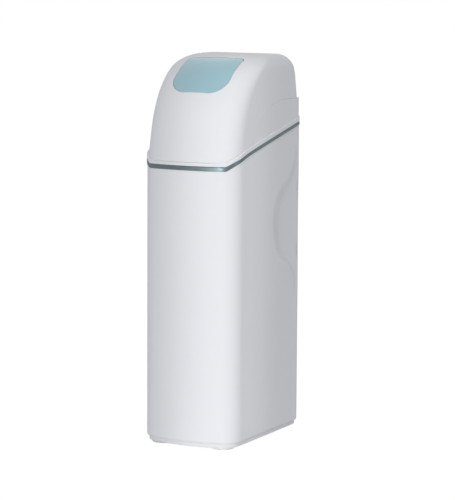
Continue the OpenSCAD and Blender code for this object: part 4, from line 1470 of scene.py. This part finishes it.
@dataclass(frozen=True)
class VisorFrame:
    """Place of the visor on the lid: middle, tilt and outline."""

    theta: float = math.radians(55.5)
    half_w: float = 0.0885
    up: float = 0.0843
    down: float = 0.0805
    top_r: float = 0.018
    bottom_r: float = 0.053
    pivot_v: float = 0.070
    pivot_w: float = -0.0195
    hinge_gap: float = 0.0034

    @property
    def middle(self) -> Vector:
        """Middle of the visor on the lid surface."""
        return Vector((0.0, -0.11097, 1.0762))

    @property
    def tilt(self) -> float:
        """Lean of the outward direction from upright."""
        return math.pi / 2 - self.theta

    def world(self, uvw: Row) -> Row:
        """Carries points of the visor frame into the model frame.

        Args:
            uvw: Points across, up the slope and outward.

        Returns:
            Array of x, y and z.
        """
        c, s = math.cos(self.tilt), math.sin(self.tilt)
        m = self.middle
        u, v, w = np.asarray(uvw, float).T
        return np.column_stack([u, m.y + v * c - w * s, m.z + v * s + w * c])

    def seat(self, obj: Solid, uvw: Sequence[float]) -> Solid:
        """Turns a piece into the visor frame and moves it to a spot there.

        Args:
            obj: The piece at the origin.
            uvw: The spot across, up the slope and outward.

        Returns:
            The settled piece.
        """
        obj.rotation_euler = (self.tilt, 0.0, 0.0)
        obj.location = self.world(np.array([uvw]))[0]
        return settle(obj)

    def surface(self, u: Row, v: Row, sink: float = 0.0) -> Row:
        """Height of the lid surface over the visor plane.

        Args:
            u: Distance across.
            v: Distance up the slope.
            sink: Distance under the outer surface.

        Returns:
            Height at each point.
        """
        c, s = math.cos(self.tilt), math.sin(self.tilt)
        m = self.middle
        fall = PLAN.drop(LID.half) - PLAN.drop(u)
        y0 = m.y + v * c - (LID.brow_y - fall)
        z0 = m.z + v * s - LID.arc_z
        dot = -y0 * s + z0 * c
        r = LID.arc_r - sink
        return -dot + np.sqrt(np.maximum(0.0, dot * dot - (y0 * y0 + z0 * z0 - r * r)))

    def outline(self, grow: float = 0.0, steps: int = 16) -> Row:
        """Outline of the visor in u and v.

        Args:
            grow: Clearance added all round.
            steps: Faces round each corner.

        Returns:
            Points from the lower right corner round.
        """
        tx, ty = self.half_w - self.top_r, self.up - self.top_r
        bx, by = self.half_w - self.bottom_r, self.bottom_r - self.down
        corners = (
            ((bx, by), self.bottom_r, -90), ((tx, ty), self.top_r, 0),
            ((-tx, ty), self.top_r, 90), ((-bx, by), self.bottom_r, 180),
        )
        bends = [arc(centre, r + grow, start, start + 90, steps) for centre, r, start in corners]
        points: list[Point] = []
        for bend, after in zip(bends, bends[1:] + bends[:1]):
            (x0, y0), (x1, y1) = bend[-1], after[0]
            points += bend
            points += [(x0 + (x1 - x0) * t, y0 + (y1 - y0) * t) for t in np.linspace(0, 1, 9)[1:-1]]
        return np.array(points)


VISOR = VisorFrame()
TRAY = VisorFrame(half_w=0.092, up=0.084, down=0.086, top_r=0.014, bottom_r=0.062)


@dataclass
class Lid:
    """The hinged lid shell with its visor opening."""

    wall: float = 0.003
    gap: float = 0.0004
    rows: int = 44
    rim_z: float = 0.86
    rim_rounds: int = 40
    visor_gap: float = 0.001
    hinge_v: float = 0.06
    way_w: Point = (-0.05, 0.03)
    gap_half: float = 0.021
    gap_y: Point = (0.219, 0.243)
    gap_z: Point = (0.970, 0.996)

    def rim(self) -> Row:
        """Height of the lid's lower edge at each mark of its plan.

        Returns:
            The heights, closed in on from a first guess.
        """
        z = np.full(len(LID.plan.marks()[0]), self.rim_z)
        for _ in range(self.rim_rounds):
            y = LID.points(z, 0.0)[:, 1]
            z = np.maximum(TRIM.at(y, COLLAR_TOP + self.gap), PARTING.at(y, self.gap))
        return z

    def skin(self, inset: float) -> list[Row]:
        """Rows of one surface, from the rim to the crown.

        Args:
            inset: Distance inward from the outer surface.

        Returns:
            The rows.
        """
        rim, crown = self.rim(), LID.height - inset
        return [
            LID.points(rim + (crown - rim) * math.sin(math.pi / 2 * j / self.rows), inset)
            for j in range(self.rows + 1)
        ]

    def build(self) -> Solid:
        """Models the lid: outer and inner skins, visor opening and hinge gaps.

        Returns:
            The finished lid.
        """
        lid = loft("lid_shell", self.skin(0.0)[::-1] + self.skin(self.wall))
        opening = VISOR.outline(self.visor_gap)
        opening[:, 1] += np.where(opening[:, 1] > self.hinge_v, VISOR.hinge_gap, 0.0)
        carve(lid, loft("visor_way", [VISOR.world(level(opening, w)) for w in self.way_w]), Cut.TAKE)
        for x in (-HINGE[0], HINGE[0]):
            low, high = zip((x - self.gap_half, x + self.gap_half), self.gap_y, self.gap_z)
            carve(lid, box_body("hinge_gap", low, high), Cut.TAKE)
        soften(lid, 0.0007)
        return lid

    def dress(self, finishes: Finishes) -> None:
        """Builds and dresses the lid."""
        enlist(self.build(), "lid", "body_white", finishes["body_white"], "lid")


@dataclass
class Visor:
    """The tinted visor that flips up over the controls."""

    thick: float = 0.003
    centre: Point = (0.0, -0.004)
    shrink: tuple[float, ...] = (1.0, 0.985, 0.95, 0.9, 0.82, 0.72, 0.6, 0.46, 0.32, 0.18, 0.08)
    ear_u: Trio = (-0.009, -0.004, 0.0038)
    ear_r: float = 0.004
    web_fall: float = 0.0016
    web_gap: float = 0.0001
    pivot_r: float = 0.0015

    def skin(self, sink: float) -> list[Row]:
        """Rows of one face of the panel, from its edge inward.

        Args:
            sink: Distance under the lid's outer surface.

        Returns:
            The rows.
        """
        edge, middle = VISOR.outline(0.0, 20), np.array(self.centre)
        flat = [middle + (edge - middle) * s for s in self.shrink]
        return [VISOR.world(np.column_stack([p, VISOR.surface(p[:, 0], p[:, 1], sink)])) for p in flat]

    def build_ear(self, side: int) -> Solid:
        """Models one pivot ear with its web and pin.

        Args:
            side: 1 for the right side, -1 for the left.

        Returns:
            The finished ear.
        """
        v, w, r = VISOR.pivot_v, VISOR.pivot_w, self.ear_r
        x0, x1, pin_end = (side * (VISOR.half_w + u) for u in self.ear_u)
        spots = VISOR.world(np.array([(x, v, w) for x in (x0, x1, pin_end)]))
        ear = rod_body("ear", spots[0], spots[1], r, 32)
        top = float(VISOR.surface(np.array([x0]), np.array([v]), self.thick)[0]) - self.web_gap
        edge = [(v - r, w), (v + r, w), (v + r, top - self.web_fall), (v - r, top)]
        web = loft("ear_web", [VISOR.world(np.array([(x, *spot) for spot in edge])) for x in (x0, x1)])
        carve(ear, web, Cut.ADD)
        carve(ear, rod_body("pin", spots[0], spots[2], self.pivot_r, 24), Cut.ADD)
        soften(ear, 0.0003)
        return ear

    def build(self) -> Solid:
        """Models the curved panel with its two ears.

        Returns:
            The finished visor.
        """
        panel = loft("visor_panel", self.skin(0.0)[::-1] + self.skin(self.thick))
        soften(panel, 0.0007, 3)
        return gather("visor_panel", [panel, *(self.build_ear(side) for side in (-1, 1))])

    def dress(self, finishes: Finishes) -> None:
        """Builds and dresses the visor."""
        enlist(self.build(), "visor", "visor_blue", finishes["visor_blue"], "visor")


class Mark(Enum):
    """Plain sign on a push button."""

    BARS = "button_menu"
    UP = "button_up"
    DOWN = "button_down"
    ROUND = "button_regenerate"


@dataclass
class Controls:
    """The deck, display and push buttons under the visor."""

    deck_w: float = -0.0345
    deck_t: float = 0.0025
    deck_rim: Profile = ((0.0024, -0.0025), (0.0024, -0.0006), (0.0018, 0.0))
    board_w: float = -0.0444
    reach: float = 0.01
    ring: Profile = (
        (0.0003, -0.0008), (0.0027, -0.0008), (0.0026, 0.0002), (0.0018, 0.0007),
        (0.0008, 0.0007), (0.0003, 0.0003), (0.0003, -0.0008),
    )
    hole_gap: float = 0.0001
    boss_u: float = 0.023
    boss_v: Point = (-0.040, 0.028)
    boss_r: float = 0.003
    boss_lap: float = 0.001
    screen: Point = (0.043, 0.022)
    screen_v: float = 0.022
    screen_r: float = 0.0012
    screen_gap: float = 0.0003
    bezel: Profile = ((0.0, 0.0003), (0.0006, 0.0009), (0.0034, 0.0009), (0.0040, -0.0004))
    digit: Point = (0.0086, 0.0018)
    digit_gap: float = 0.0004
    digit_pitch: float = 0.0148
    colon_pitch: float = 0.0062
    colon_shift: float = 0.0007
    dot: Point = (0.0011, 0.0003)
    relief: float = 0.0003
    reading: str = "10:30"
    reading_u: float = 0.0026
    button_v: float = -0.038
    pitch: float = 0.036
    button_r: float = 0.008
    cap_rise: float = 0.002
    cap_round: float = 0.0012
    dimple: Profile = ((0.0062, 0.0), (0.0056, -0.0004), (0.0, -0.0004))
    stem_r: float = 0.003
    stem_gap: float = 0.0031
    flange: float = 0.002
    flange_gap: float = 0.0001
    sign_sink: float = 0.0005
    sign_h: float = 0.0004
    sign_bar: Trio = (0.0032, 0.0005, 0.0003)
    sign_pitch: float = 0.002
    arrow: Profile = ((-0.0034, -0.0018), (0.0034, -0.0018), (0.0, 0.0030))
    sign_ring: Point = (0.0023, 0.0032)
    sign_turn: Point = (60, 330)
    sign_head: Profile = ((0.0008, 0.0024), (0.0033, 0.0012), (0.0030, 0.0040))

    def button_spot(self, i: int, w: float) -> Trio:
        """Place of a button on the deck, at a height of the visor frame."""
        return (i - 1.5) * self.pitch, self.button_v, w

    def build_deck(self) -> Solid:
        """Models the deck plate with its window, button holes, raised rings and bosses.

        Returns:
            The finished deck.
        """
        rows = []
        for grow, rise in self.deck_rim:
            edge = TRAY.outline(grow)
            edge[:, 1] += np.where(edge[:, 1] > 0, TRAY.hinge_gap, 0.0)
            rows.append(VISOR.world(level(edge, self.deck_w + rise)))
        deck = loft("deck_plate", rows)
        r, ends = self.button_r, ((0, 0, -self.reach), (0, 0, self.reach))
        spots = [self.button_spot(i, self.deck_w) for i in range(len(Mark))]
        for spot in spots:
            carve(deck, VISOR.seat(rod_body("hole", *ends, r + self.hole_gap), spot), Cut.TAKE)
        ring = turned("ring", [(r + out, rise) for out, rise in self.ring], 48)
        for spot in spots:
            carve(deck, VISOR.seat(copied(ring), spot), Cut.ADD)
        discard(ring)
        half_w, half_h = self.screen
        edge = rounded(half_w + self.screen_gap, half_h + self.screen_gap, self.screen_r)
        window = plate("window", edge, -self.reach, self.reach)
        carve(deck, VISOR.seat(window, (0, self.screen_v, self.deck_w)), Cut.TAKE)
        for u in (-half_w - self.boss_u, half_w + self.boss_u):
            for v in self.boss_v:
                boss = rod_body("boss", (0, 0, self.board_w), (0, 0, self.deck_w - self.boss_lap), self.boss_r, 24)
                carve(deck, VISOR.seat(boss, (u, self.screen_v + v, 0.0)), Cut.ADD)
        smooth(deck, 30)
        return deck

    def build_screen(self) -> Solid:
        """Models the display block with a bezel round its sunk window.

        Returns:
            The finished block.
        """
        half_w, half_h = self.screen
        levels = [(0.0, self.board_w), *((inset, self.deck_w + rise) for inset, rise in self.bezel)]
        screen = loft("display_block", [
            level(np.array(rounded(half_w - inset, half_h - inset, self.screen_r)), w) for inset, w in levels
        ])
        smooth(screen, 30)
        return VISOR.seat(screen, (0.0, self.screen_v, 0.0))

    def build_reading(self) -> Solid:
        """Models one bar of a digit and one dot, and copies them into a plain reading.

        Returns:
            The joined bars and dots.
        """
        half, h = self.digit[0] / 2, self.digit[1] / 2
        edge = [(-half, 0), (-half + h, -h), (half - h, -h), (half, 0), (half - h, h), (-half + h, h)]
        bar = plate("bar", edge, 0.0, self.relief)
        dot = plate("dot", rounded(self.dot[0], *self.dot, 3), 0.0, self.relief)
        step = self.digit[0] + self.digit_gap
        near = step / 2
        spots = {
            "a": (0, step, 0), "b": (near, near, 90), "c": (near, -near, 90), "d": (0, -step, 0),
            "e": (-near, -near, 90), "f": (-near, near, 90), "g": (0, 0, 0),
        }
        lit = {"0": "abcdef", "1": "bc", "3": "abcdg"}
        made, x = [], -2 * self.digit_pitch
        for sign in self.reading:
            if sign == ":":
                made += [copied(dot, (x - self.colon_shift, y, 0.0)) for y in (-near, near)]
                x += self.colon_pitch
                continue
            for u, v, turn in (spots[key] for key in lit[sign]):
                made.append(copied(bar, (x + u, v, 0.0), turn))
            x += self.digit_pitch
        discard(bar)
        discard(dot)
        reading = gather("display_reading", made)
        smooth(reading)
        return VISOR.seat(reading, (self.reading_u, self.screen_v, self.deck_w + self.bezel[-1][1]))

    def build_button(self) -> Solid:
        """Models a push button on the upright axis, at its height of the visor frame.

        Returns:
            The finished button.
        """
        r, stem, bend = self.button_r, self.stem_r, self.cap_round
        top, foot = self.deck_w + self.cap_rise, self.board_w + self.stem_gap
        under = self.deck_w - self.deck_t - self.flange_gap
        low, wide = under - self.flange, r + self.flange
        profile = [(0.0, foot), (stem, foot), (stem, low), (wide, low), (wide, under), (r, under)]
        profile += arc((r - bend, top - bend), bend, 0, 90, 5)
        profile += [(radius, top + rise) for radius, rise in self.dimple]
        button = turned("button_cap", profile, 56)
        smooth(button, 40)
        return button

    def build_mark(self, mark: Mark) -> Solid:
        """Models the raised sign of a button on the upright axis.

        Args:
            mark: Which sign.

        Returns:
            The sign.
        """
        low = self.deck_w + self.cap_rise - self.sign_sink
        high = low + self.sign_h
        if mark is Mark.BARS:
            bar = plate("sign", rounded(*self.sign_bar, 3), low, high)
            return gather("sign", [bar, *(copied(bar, (0, y, 0)) for y in (-self.sign_pitch, self.sign_pitch))])
        if mark in (Mark.UP, Mark.DOWN):
            side = 1 if mark is Mark.UP else -1
            return plate("sign", [(x, y * side) for x, y in self.arrow][::side], low, high)
        inner, outer = (arc((0, 0), r, *self.sign_turn, 28) for r in self.sign_ring)
        ring = plate("sign", outer + inner[::-1], low, high)
        return gather("sign", [ring, plate("head", self.sign_head, low, high)])

    def dress(self, finishes: Finishes) -> None:
        """Builds and dresses the deck, display, buttons and their signs.

        Args:
            finishes: All finishes.
        """
        enlist(self.build_deck(), "lid", "pale_plastic", finishes["pale_plastic"], "control_deck")
        enlist(self.build_screen(), "lid", "display_glass", finishes["display_glass"], "display")
        enlist(self.build_reading(), "lid", "white_plastic", finishes.readout)
        button = self.build_button()
        for i, mark in enumerate(Mark):
            slot = "blue_plastic" if mark is Mark.ROUND else "mid_plastic"
            cap = VISOR.seat(copied(button), self.button_spot(i, 0.0))
            cap.name = mark.value + "_cap"
            enlist(cap, mark.value, slot, finishes[slot], mark.value)
            sign = VISOR.seat(self.build_mark(mark), self.button_spot(i, 0.0))
            sign.name = mark.value + "_sign"
            smooth(sign)
            enlist(sign, mark.value, "white_plastic", finishes.mark)
        discard(button)


@dataclass
class RearFittings:
    """The overflow elbow seat and the low-voltage socket in the rear wall."""

    bushing: Profile = (
        (0.008, 0.220), (0.0106, 0.220), (0.011, 0.2205), (0.011, 0.234), (0.016, 0.234), (0.016, 0.2350),
        (0.0157, 0.2356), (0.0150, 0.236), (0.0128, 0.236), (0.0122, 0.2354), (0.0106, 0.2354), (0.0102, 0.236),
        (0.0088, 0.236), (0.008, 0.2352), (0.008, 0.220),
    )
    jack: Profile = (
        (0.0, 0.2185), (0.0066, 0.2185), (0.007, 0.2189), (0.007, 0.2325), (0.0095, 0.2325), (0.0095, 0.2338),
        (0.0092, 0.2343), (0.0086, 0.2345), (0.0046, 0.2345), (0.0036, 0.2336), (0.0028, 0.2332), (0.0028, 0.2225),
        (0.0010, 0.2225), (0.0010, 0.2316), (0.0006, 0.2322), (0.0, 0.2323),
    )

    def build(self, name: str, profile: Profile, steps: int, spot: Point) -> Solid:
        """Models one fitting, turned on an axis that runs to the rear.

        Args:
            name: Name of the piece.
            profile: Radius and y of each point.
            steps: Faces round the axis.
            spot: Its x and z.

        Returns:
            The finished fitting.
        """
        x, z = spot
        fitting = stand(turned(name, profile, steps), (x, 0, z), (0, 1, 0))
        smooth(fitting, 30)
        return fitting

    def dress(self, finishes: Finishes) -> None:
        """Builds and dresses both fittings.

        Args:
            finishes: All finishes.
        """
        bushing = self.build("overflow_collar", self.bushing, 72, (0, OVERFLOW_Z))
        enlist(bushing, "cabinet", "mid_plastic", finishes["mid_plastic"], "overflow_bushing")
        jack = self.build("power_jack", self.jack, 56, SOCKET)
        enlist(jack, "cabinet", "black_plastic", finishes["black_plastic"], "power_socket")


@dataclass
class Plumbing:
    """The bypass with its threaded ports and levers, the drive motor and the well cap."""

    port_x: float = 0.038
    port_z: float = 0.845
    port_y: Point = (0.128, 0.232)
    bore_r: float = 0.0125
    pipe_r: float = 0.018
    flange: Profile = ((0.0, 0.0), (0.0216, 0.0), (0.022, 0.0004), (0.022, 0.0056), (0.0216, 0.006), (0.018, 0.006))
    root_r: float = 0.0152
    pitch: float = 0.00231
    turns: int = 10
    ridge: Profile = ((0.0152, 0.0), (0.0165, 0.0008), (0.0165, 0.0012), (0.0152, 0.0020))
    nose: Profile = ((0.0156, -0.0010), (0.0150, 0.0), (0.0, 0.0))
    run_out: Trio = (0.0015, 0.0022, 0.0008)
    hexagon: Profile = ((0.0208, 0.1960), (0.0220, 0.1968), (0.0220, 0.2042), (0.0208, 0.2050))
    boss_half: float = 0.023
    boss: Profile = ((0.0, 0.0), (0.0188, 0.0), (0.020, 0.0012))
    boss_top: Profile = ((0.020, -0.0008), (0.0192, 0.0), (0.0, 0.0))
    cross_r: float = 0.014
    way_r: float = 0.009
    seat_r: float = 0.01515
    seat_z: Point = (-0.019, 0.06)
    bore_lap: float = 0.01
    lever_y: float = 0.165
    lever: Profile = (
        (0.0, 0.8815), (0.00615, 0.8815), (0.00615, 0.874), (0.0126, 0.874), (0.013, 0.8744),
        (0.013, 0.886), (0.011, 0.8874), (0.0, 0.8874),
    )
    bar_z: Point = (0.877, 0.888)
    bar_half: float = 0.022
    bar_waist: Point = (0.0036, 0.0014)
    bar_end_r: float = 0.005
    motor_y: float = 0.030
    can: Profile = (
        (0.0, 0.9246), (0.00265, 0.9246), (0.00265, 0.9136), (0.0187, 0.9136), (0.019, 0.9139), (0.019, 0.9157),
        (0.0186, 0.9161), (0.0173, 0.9161), (0.017, 0.9164), (0.017, 0.9224), (0.0166, 0.9228), (0.0166, 0.9238),
        (0.017, 0.9242), (0.017, 0.9456), (0.0164, 0.9470), (0.0150, 0.9476), (0.0058, 0.9476), (0.005, 0.9482),
        (0.005, 0.9500), (0.0044, 0.9506), (0.0, 0.9506),
    )
    can_front: float = 0.0158
    block: tuple[Trio, Trio] = ((-0.006, -0.004, 0.930), (0.006, 0.003, 0.939))
    tab: tuple[Trio, Trio] = ((-0.0011, -0.009, 0.9341), (0.0011, -0.003, 0.9349))
    tab_x: float = 0.003
    well: Point = (-0.0920, -0.1304)
    well_cap: Profile = (
        (0.0, 0.7703), (0.0453, 0.7703), (0.0453, 0.7584), (0.0457, 0.758), (0.0471, 0.758), (0.0475, 0.7584),
        (0.0475, 0.7712), (0.0470, 0.7725), (0.0458, 0.7732), (0.0445, 0.7733), (0.0405, 0.7733), (0.0400, 0.7727),
        (0.0368, 0.7727), (0.0363, 0.7733), (0.0125, 0.7733), (0.0102, 0.7737), (0.0090, 0.7749), (0.009, 0.7800),
        (0.0086, 0.7807), (0.0080, 0.781), (0.0068, 0.781), (0.0062, 0.7807), (0.006, 0.7800), (0.006, 0.7738),
        (0.0, 0.7738),
    )

    def build_leg(self) -> Solid:
        """Models one port pipe with flange, hexagon, thread and lever boss, along y at the middle.

        Returns:
            The finished leg.
        """
        (start, end), z = self.port_y, self.port_z
        last, fall, gap = self.run_out
        thread = end - last - self.turns * self.pitch
        profile = raised(self.flange, start) + [(self.pipe_r, thread - fall), (self.root_r, thread - gap)]
        for i in range(self.turns):
            profile += raised(self.ridge, thread + i * self.pitch)
        profile += raised(self.nose, end)
        leg = stand(turned("port_pipe", profile), (0, 0, z), (0, 1, 0))
        corners = [math.radians(a) for a in range(0, 360, 60)]
        rows = [np.array([(r * math.cos(a), y, z + r * math.sin(a)) for a in corners]) for r, y in self.hexagon]
        carve(leg, loft("hexagon", rows), Cut.ADD)
        profile = raised(self.boss, z - self.boss_half) + raised(self.boss_top, z + self.boss_half)
        carve(leg, turned("boss", profile, foot=(0, self.lever_y, 0)), Cut.ADD)
        return leg

    def build_bypass(self) -> Solid:
        """Models the bypass body: two legs, the cross pipe, the bores and the rotor seats.

        Returns:
            The finished body.
        """
        x, y, z = self.port_x, self.lever_y, self.port_z
        start, end = self.port_y
        leg = self.build_leg()
        body = copied(leg, (-x, 0, 0))
        body.name = "bypass_casting"
        leg = stand(leg, (x, 0, 0))
        carve(body, rod_body("cross", (-x, y, z), (x, y, z), self.cross_r), Cut.ADD)
        carve(body, leg, Cut.ADD)
        carve(body, rod_body("way", (-x, y, z), (x, y, z), self.way_r, 50), Cut.TAKE)
        for u in (-x, x):
            carve(body, rod_body("seat", *((u, y, z + rise) for rise in self.seat_z), self.seat_r, 58), Cut.TAKE)
        for u in (-x, x):
            bore = rod_body("bore", (u, start - self.bore_lap, z), (u, end + self.bore_lap, z), self.bore_r, 44)
            carve(body, bore, Cut.TAKE)
        smooth(body, 32)
        return body

    def build_lever(self) -> Solid:
        """Models one bypass lever at the middle: a hub with a waisted bar across it.

        Returns:
            The finished lever.
        """
        hub = turned("lever", self.lever, 48, (0, self.lever_y, 0))
        half, (waist, flare) = self.bar_half, self.bar_waist
        edge = [(waist + flare * t * t, half * t) for t in np.linspace(-1, 1, 17)]
        edge += arc((0, half), self.bar_end_r, 12, 168, 8)[1:-1]
        edge += [(-x, -y) for x, y in edge]
        carve(hub, stand(plate("bar", edge, *self.bar_z), (0, self.lever_y, 0)), Cut.ADD)
        soften(hub, 0.0008, 3)
        return hub

    def build_motor(self) -> Solid:
        """Models the motor can with its terminal block and tabs.

        Returns:
            The finished motor.
        """
        can = turned("motor_can", self.can, foot=(0, self.motor_y, 0))
        front = Vector((0.0, self.motor_y - self.can_front, 0.0))
        carve(can, box_body("block", *(front + Vector(corner) for corner in self.block)), Cut.ADD)
        for x in (-self.tab_x, self.tab_x):
            spot = front + Vector((x, 0.0, 0.0))
            carve(can, box_body("tab", *(spot + Vector(corner) for corner in self.tab)), Cut.ADD)
        smooth(can, 30)
        return can

    def dress(self, finishes: Finishes) -> None:
        """Builds and dresses the bypass, its levers, the motor and the well cap.

        Args:
            finishes: All finishes.
        """
        enlist(self.build_bypass(), "cabinet", "dark_plastic", finishes["dark_plastic"], "bypass_body")
        lever = self.build_lever()
        twin = copied(lever, (-self.port_x, 0, 0))
        lever = stand(lever, (self.port_x, 0, 0))
        for piece, name in ((twin, "inlet"), (lever, "outlet")):
            piece.name = name + "_lever"
            enlist(piece, name + "_bypass", "blue_plastic", finishes["blue_plastic"], name + "_knob")
        enlist(self.build_motor(), "cabinet", "motor_steel", finishes["motor_steel"], "motor")
        cap = turned("well_lid", self.well_cap, 96, (*self.well, 0))
        smooth(cap, 30)
        enlist(cap, "brine_well_cap", "pale_plastic", finishes["pale_plastic"], "brine_well_cap")


# Studio


@dataclass(frozen=True)
class Lamp:
    """A soft rectangular lamp aimed at a point."""

    name: str
    place: Trio
    size: Point
    watts: float
    aim: Trio
    spread: float

    def light(self) -> None:
        """Adds the lamp to the scene."""
        data = bpy.data.lights.new(self.name, "AREA")
        data.shape = "RECTANGLE"
        data.size, data.size_y = self.size
        data.energy = self.watts
        data.spread = math.radians(self.spread)
        obj = bpy.data.objects.new(self.name, data)
        bpy.context.scene.collection.objects.link(obj)
        obj.location = self.place
        obj.rotation_euler = (Vector(self.aim) - Vector(self.place)).to_track_quat("-Z", "Y").to_euler()


@dataclass
class Studio:
    """Camera at the photograph's place, pale floor, white surround and soft lamps."""

    azimuth: float = math.radians(27.253)
    elevation: float = math.radians(7.46)
    roll: float = math.radians(0.326)
    distance: float = 6.7836
    shift: Point = (0.01643, -0.01265)
    lens: float = 166.67
    sensor: float = 36.0
    sky: float = 0.562
    sky_tint: tuple[float, ...] = (0.96, 0.98, 1.0, 1.0)
    floor_size: float = 60.0
    floor_grey: tuple[float, ...] = (0.9, 0.9, 0.9, 1.0)
    floor_glow: float = 1.07
    floor_share: float = 0.9
    white: tuple[float, ...] = (1.0, 1.0, 1.0, 1.0)
    aim_z: float = 0.56
    lamps: tuple[Lamp, ...] = (
        Lamp("key", (0.538, -3.171, 1.73), (0.35, 3.0), 1.84, (0.12, -0.20, 1.2), 11.0),
        Lamp("side", (1.545, -0.262, 1.4), (0.25, 2.4), 0.20, (0.15, -0.14, 1.2), 10.0),
        Lamp("rear", (-0.9, 2.9, 0.60), (2.6, 0.95), 4.5, (0.0, 0.2, 0.62), 90.0),
    )

    def camera(self) -> None:
        """Places the camera."""
        data = bpy.data.cameras.new("photo_camera")
        data.lens = self.lens
        data.sensor_width = self.sensor
        data.sensor_fit = "AUTO"
        data.clip_end = 100.0
        back = Vector((
            math.sin(self.azimuth) * math.cos(self.elevation),
            -math.cos(self.azimuth) * math.cos(self.elevation),
            math.sin(self.elevation),
        ))
        right = Vector((math.cos(self.azimuth), math.sin(self.azimuth), 0.0))
        up = back.cross(right)
        c, s = math.cos(self.roll), math.sin(self.roll)
        right, up = right * c + up * s, up * c - right * s
        place = Vector((0, 0, self.aim_z)) + back * self.distance + right * self.shift[0] + up * self.shift[1]
        obj = bpy.data.objects.new("photo_camera", data)
        bpy.context.scene.collection.objects.link(obj)
        obj.matrix_world = Matrix.Translation(place) @ Matrix((right, up, back)).transposed().to_4x4()
        bpy.context.scene.camera = obj

    def plain_sight(self, tree: NodeTree) -> Socket:
        """A value of 1 for rays from the camera, a mirror or a clear pane, and 0 for the rest.

        Args:
            tree: Node tree to add to.

        Returns:
            The value socket.
        """
        path = tree.nodes.new("ShaderNodeLightPath")
        value = path.outputs["Is Camera Ray"]
        for kind in ("Is Glossy Ray", "Is Transmission Ray"):
            more = tree.nodes.new("ShaderNodeMath")
            more.operation = "MAXIMUM"
            tree.links.new(value, more.inputs[0])
            tree.links.new(path.outputs[kind], more.inputs[1])
            value = more.outputs[0]
        return value

    def show(self, tree: NodeTree, out: Node, usual: Node, seen: Node, share: Socket) -> None:
        """Joins two shaders at the output.

        Args:
            tree: Node tree to add to.
            out: Output node.
            usual: Shader for a share of 0.
            seen: Shader for a share of 1.
            share: The share.
        """
        mix = tree.nodes.new("ShaderNodeMixShader")
        tree.links.new(share, mix.inputs["Fac"])
        tree.links.new(usual.outputs[0], mix.inputs[1])
        tree.links.new(seen.outputs[0], mix.inputs[2])
        tree.links.new(mix.outputs[0], out.inputs["Surface"])

    def floor(self) -> None:
        """Adds the pale floor, which shows white and keeps a faint shadow."""
        clear_selection()
        bpy.ops.mesh.primitive_plane_add(size=self.floor_size, location=(0, 0, 0))
        plane = bpy.context.active_object
        plane.name = "studio_floor"
        sheet = bpy.data.materials.new("studio_floor")
        sheet.use_nodes = True
        tree = sheet.node_tree
        tree.nodes.clear()
        out = tree.nodes.new("ShaderNodeOutputMaterial")
        matt = tree.nodes.new("ShaderNodeBsdfDiffuse")
        matt.inputs["Color"].default_value = self.floor_grey
        glow = tree.nodes.new("ShaderNodeEmission")
        glow.inputs["Color"].default_value = self.white
        glow.inputs["Strength"].default_value = self.floor_glow
        share = tree.nodes.new("ShaderNodeMath")
        share.operation = "MULTIPLY"
        share.inputs[1].default_value = self.floor_share
        tree.links.new(self.plain_sight(tree), share.inputs[0])
        self.show(tree, out, matt, glow, share.outputs[0])
        plane.data.materials.append(sheet)

    def surround(self) -> None:
        """Sets a soft white surround that the camera sees as white."""
        world = bpy.data.worlds.new("studio")
        bpy.context.scene.world = world
        world.use_nodes = True
        tree = world.node_tree
        tree.nodes.clear()
        out = tree.nodes.new("ShaderNodeOutputWorld")
        soft = tree.nodes.new("ShaderNodeBackground")
        soft.inputs["Color"].default_value = self.sky_tint
        soft.inputs["Strength"].default_value = self.sky
        white = tree.nodes.new("ShaderNodeBackground")
        white.inputs["Color"].default_value = self.white
        self.show(tree, out, soft, white, self.plain_sight(tree))

    def set_up(self) -> None:
        """Sets camera, floor, surround and lamps."""
        self.camera()
        self.floor()
        self.surround()
        for lamp in self.lamps:
            lamp.light()
        bpy.context.scene.view_settings.view_transform = "Standard"


def main() -> None:
    """Builds and dresses the softener, piece by piece."""
    logging.basicConfig(level=logging.INFO, format="%(message)s")
    Studio().set_up()
    finishes = Finishes()
    finishes.dress_nodes()
    for assembly in (Cabinet(), TrimLine(), Shroud(), Lid(), Visor(), Controls(), RearFittings(), Plumbing()):
        assembly.dress(finishes)


if __name__ == "__main__":
    main()
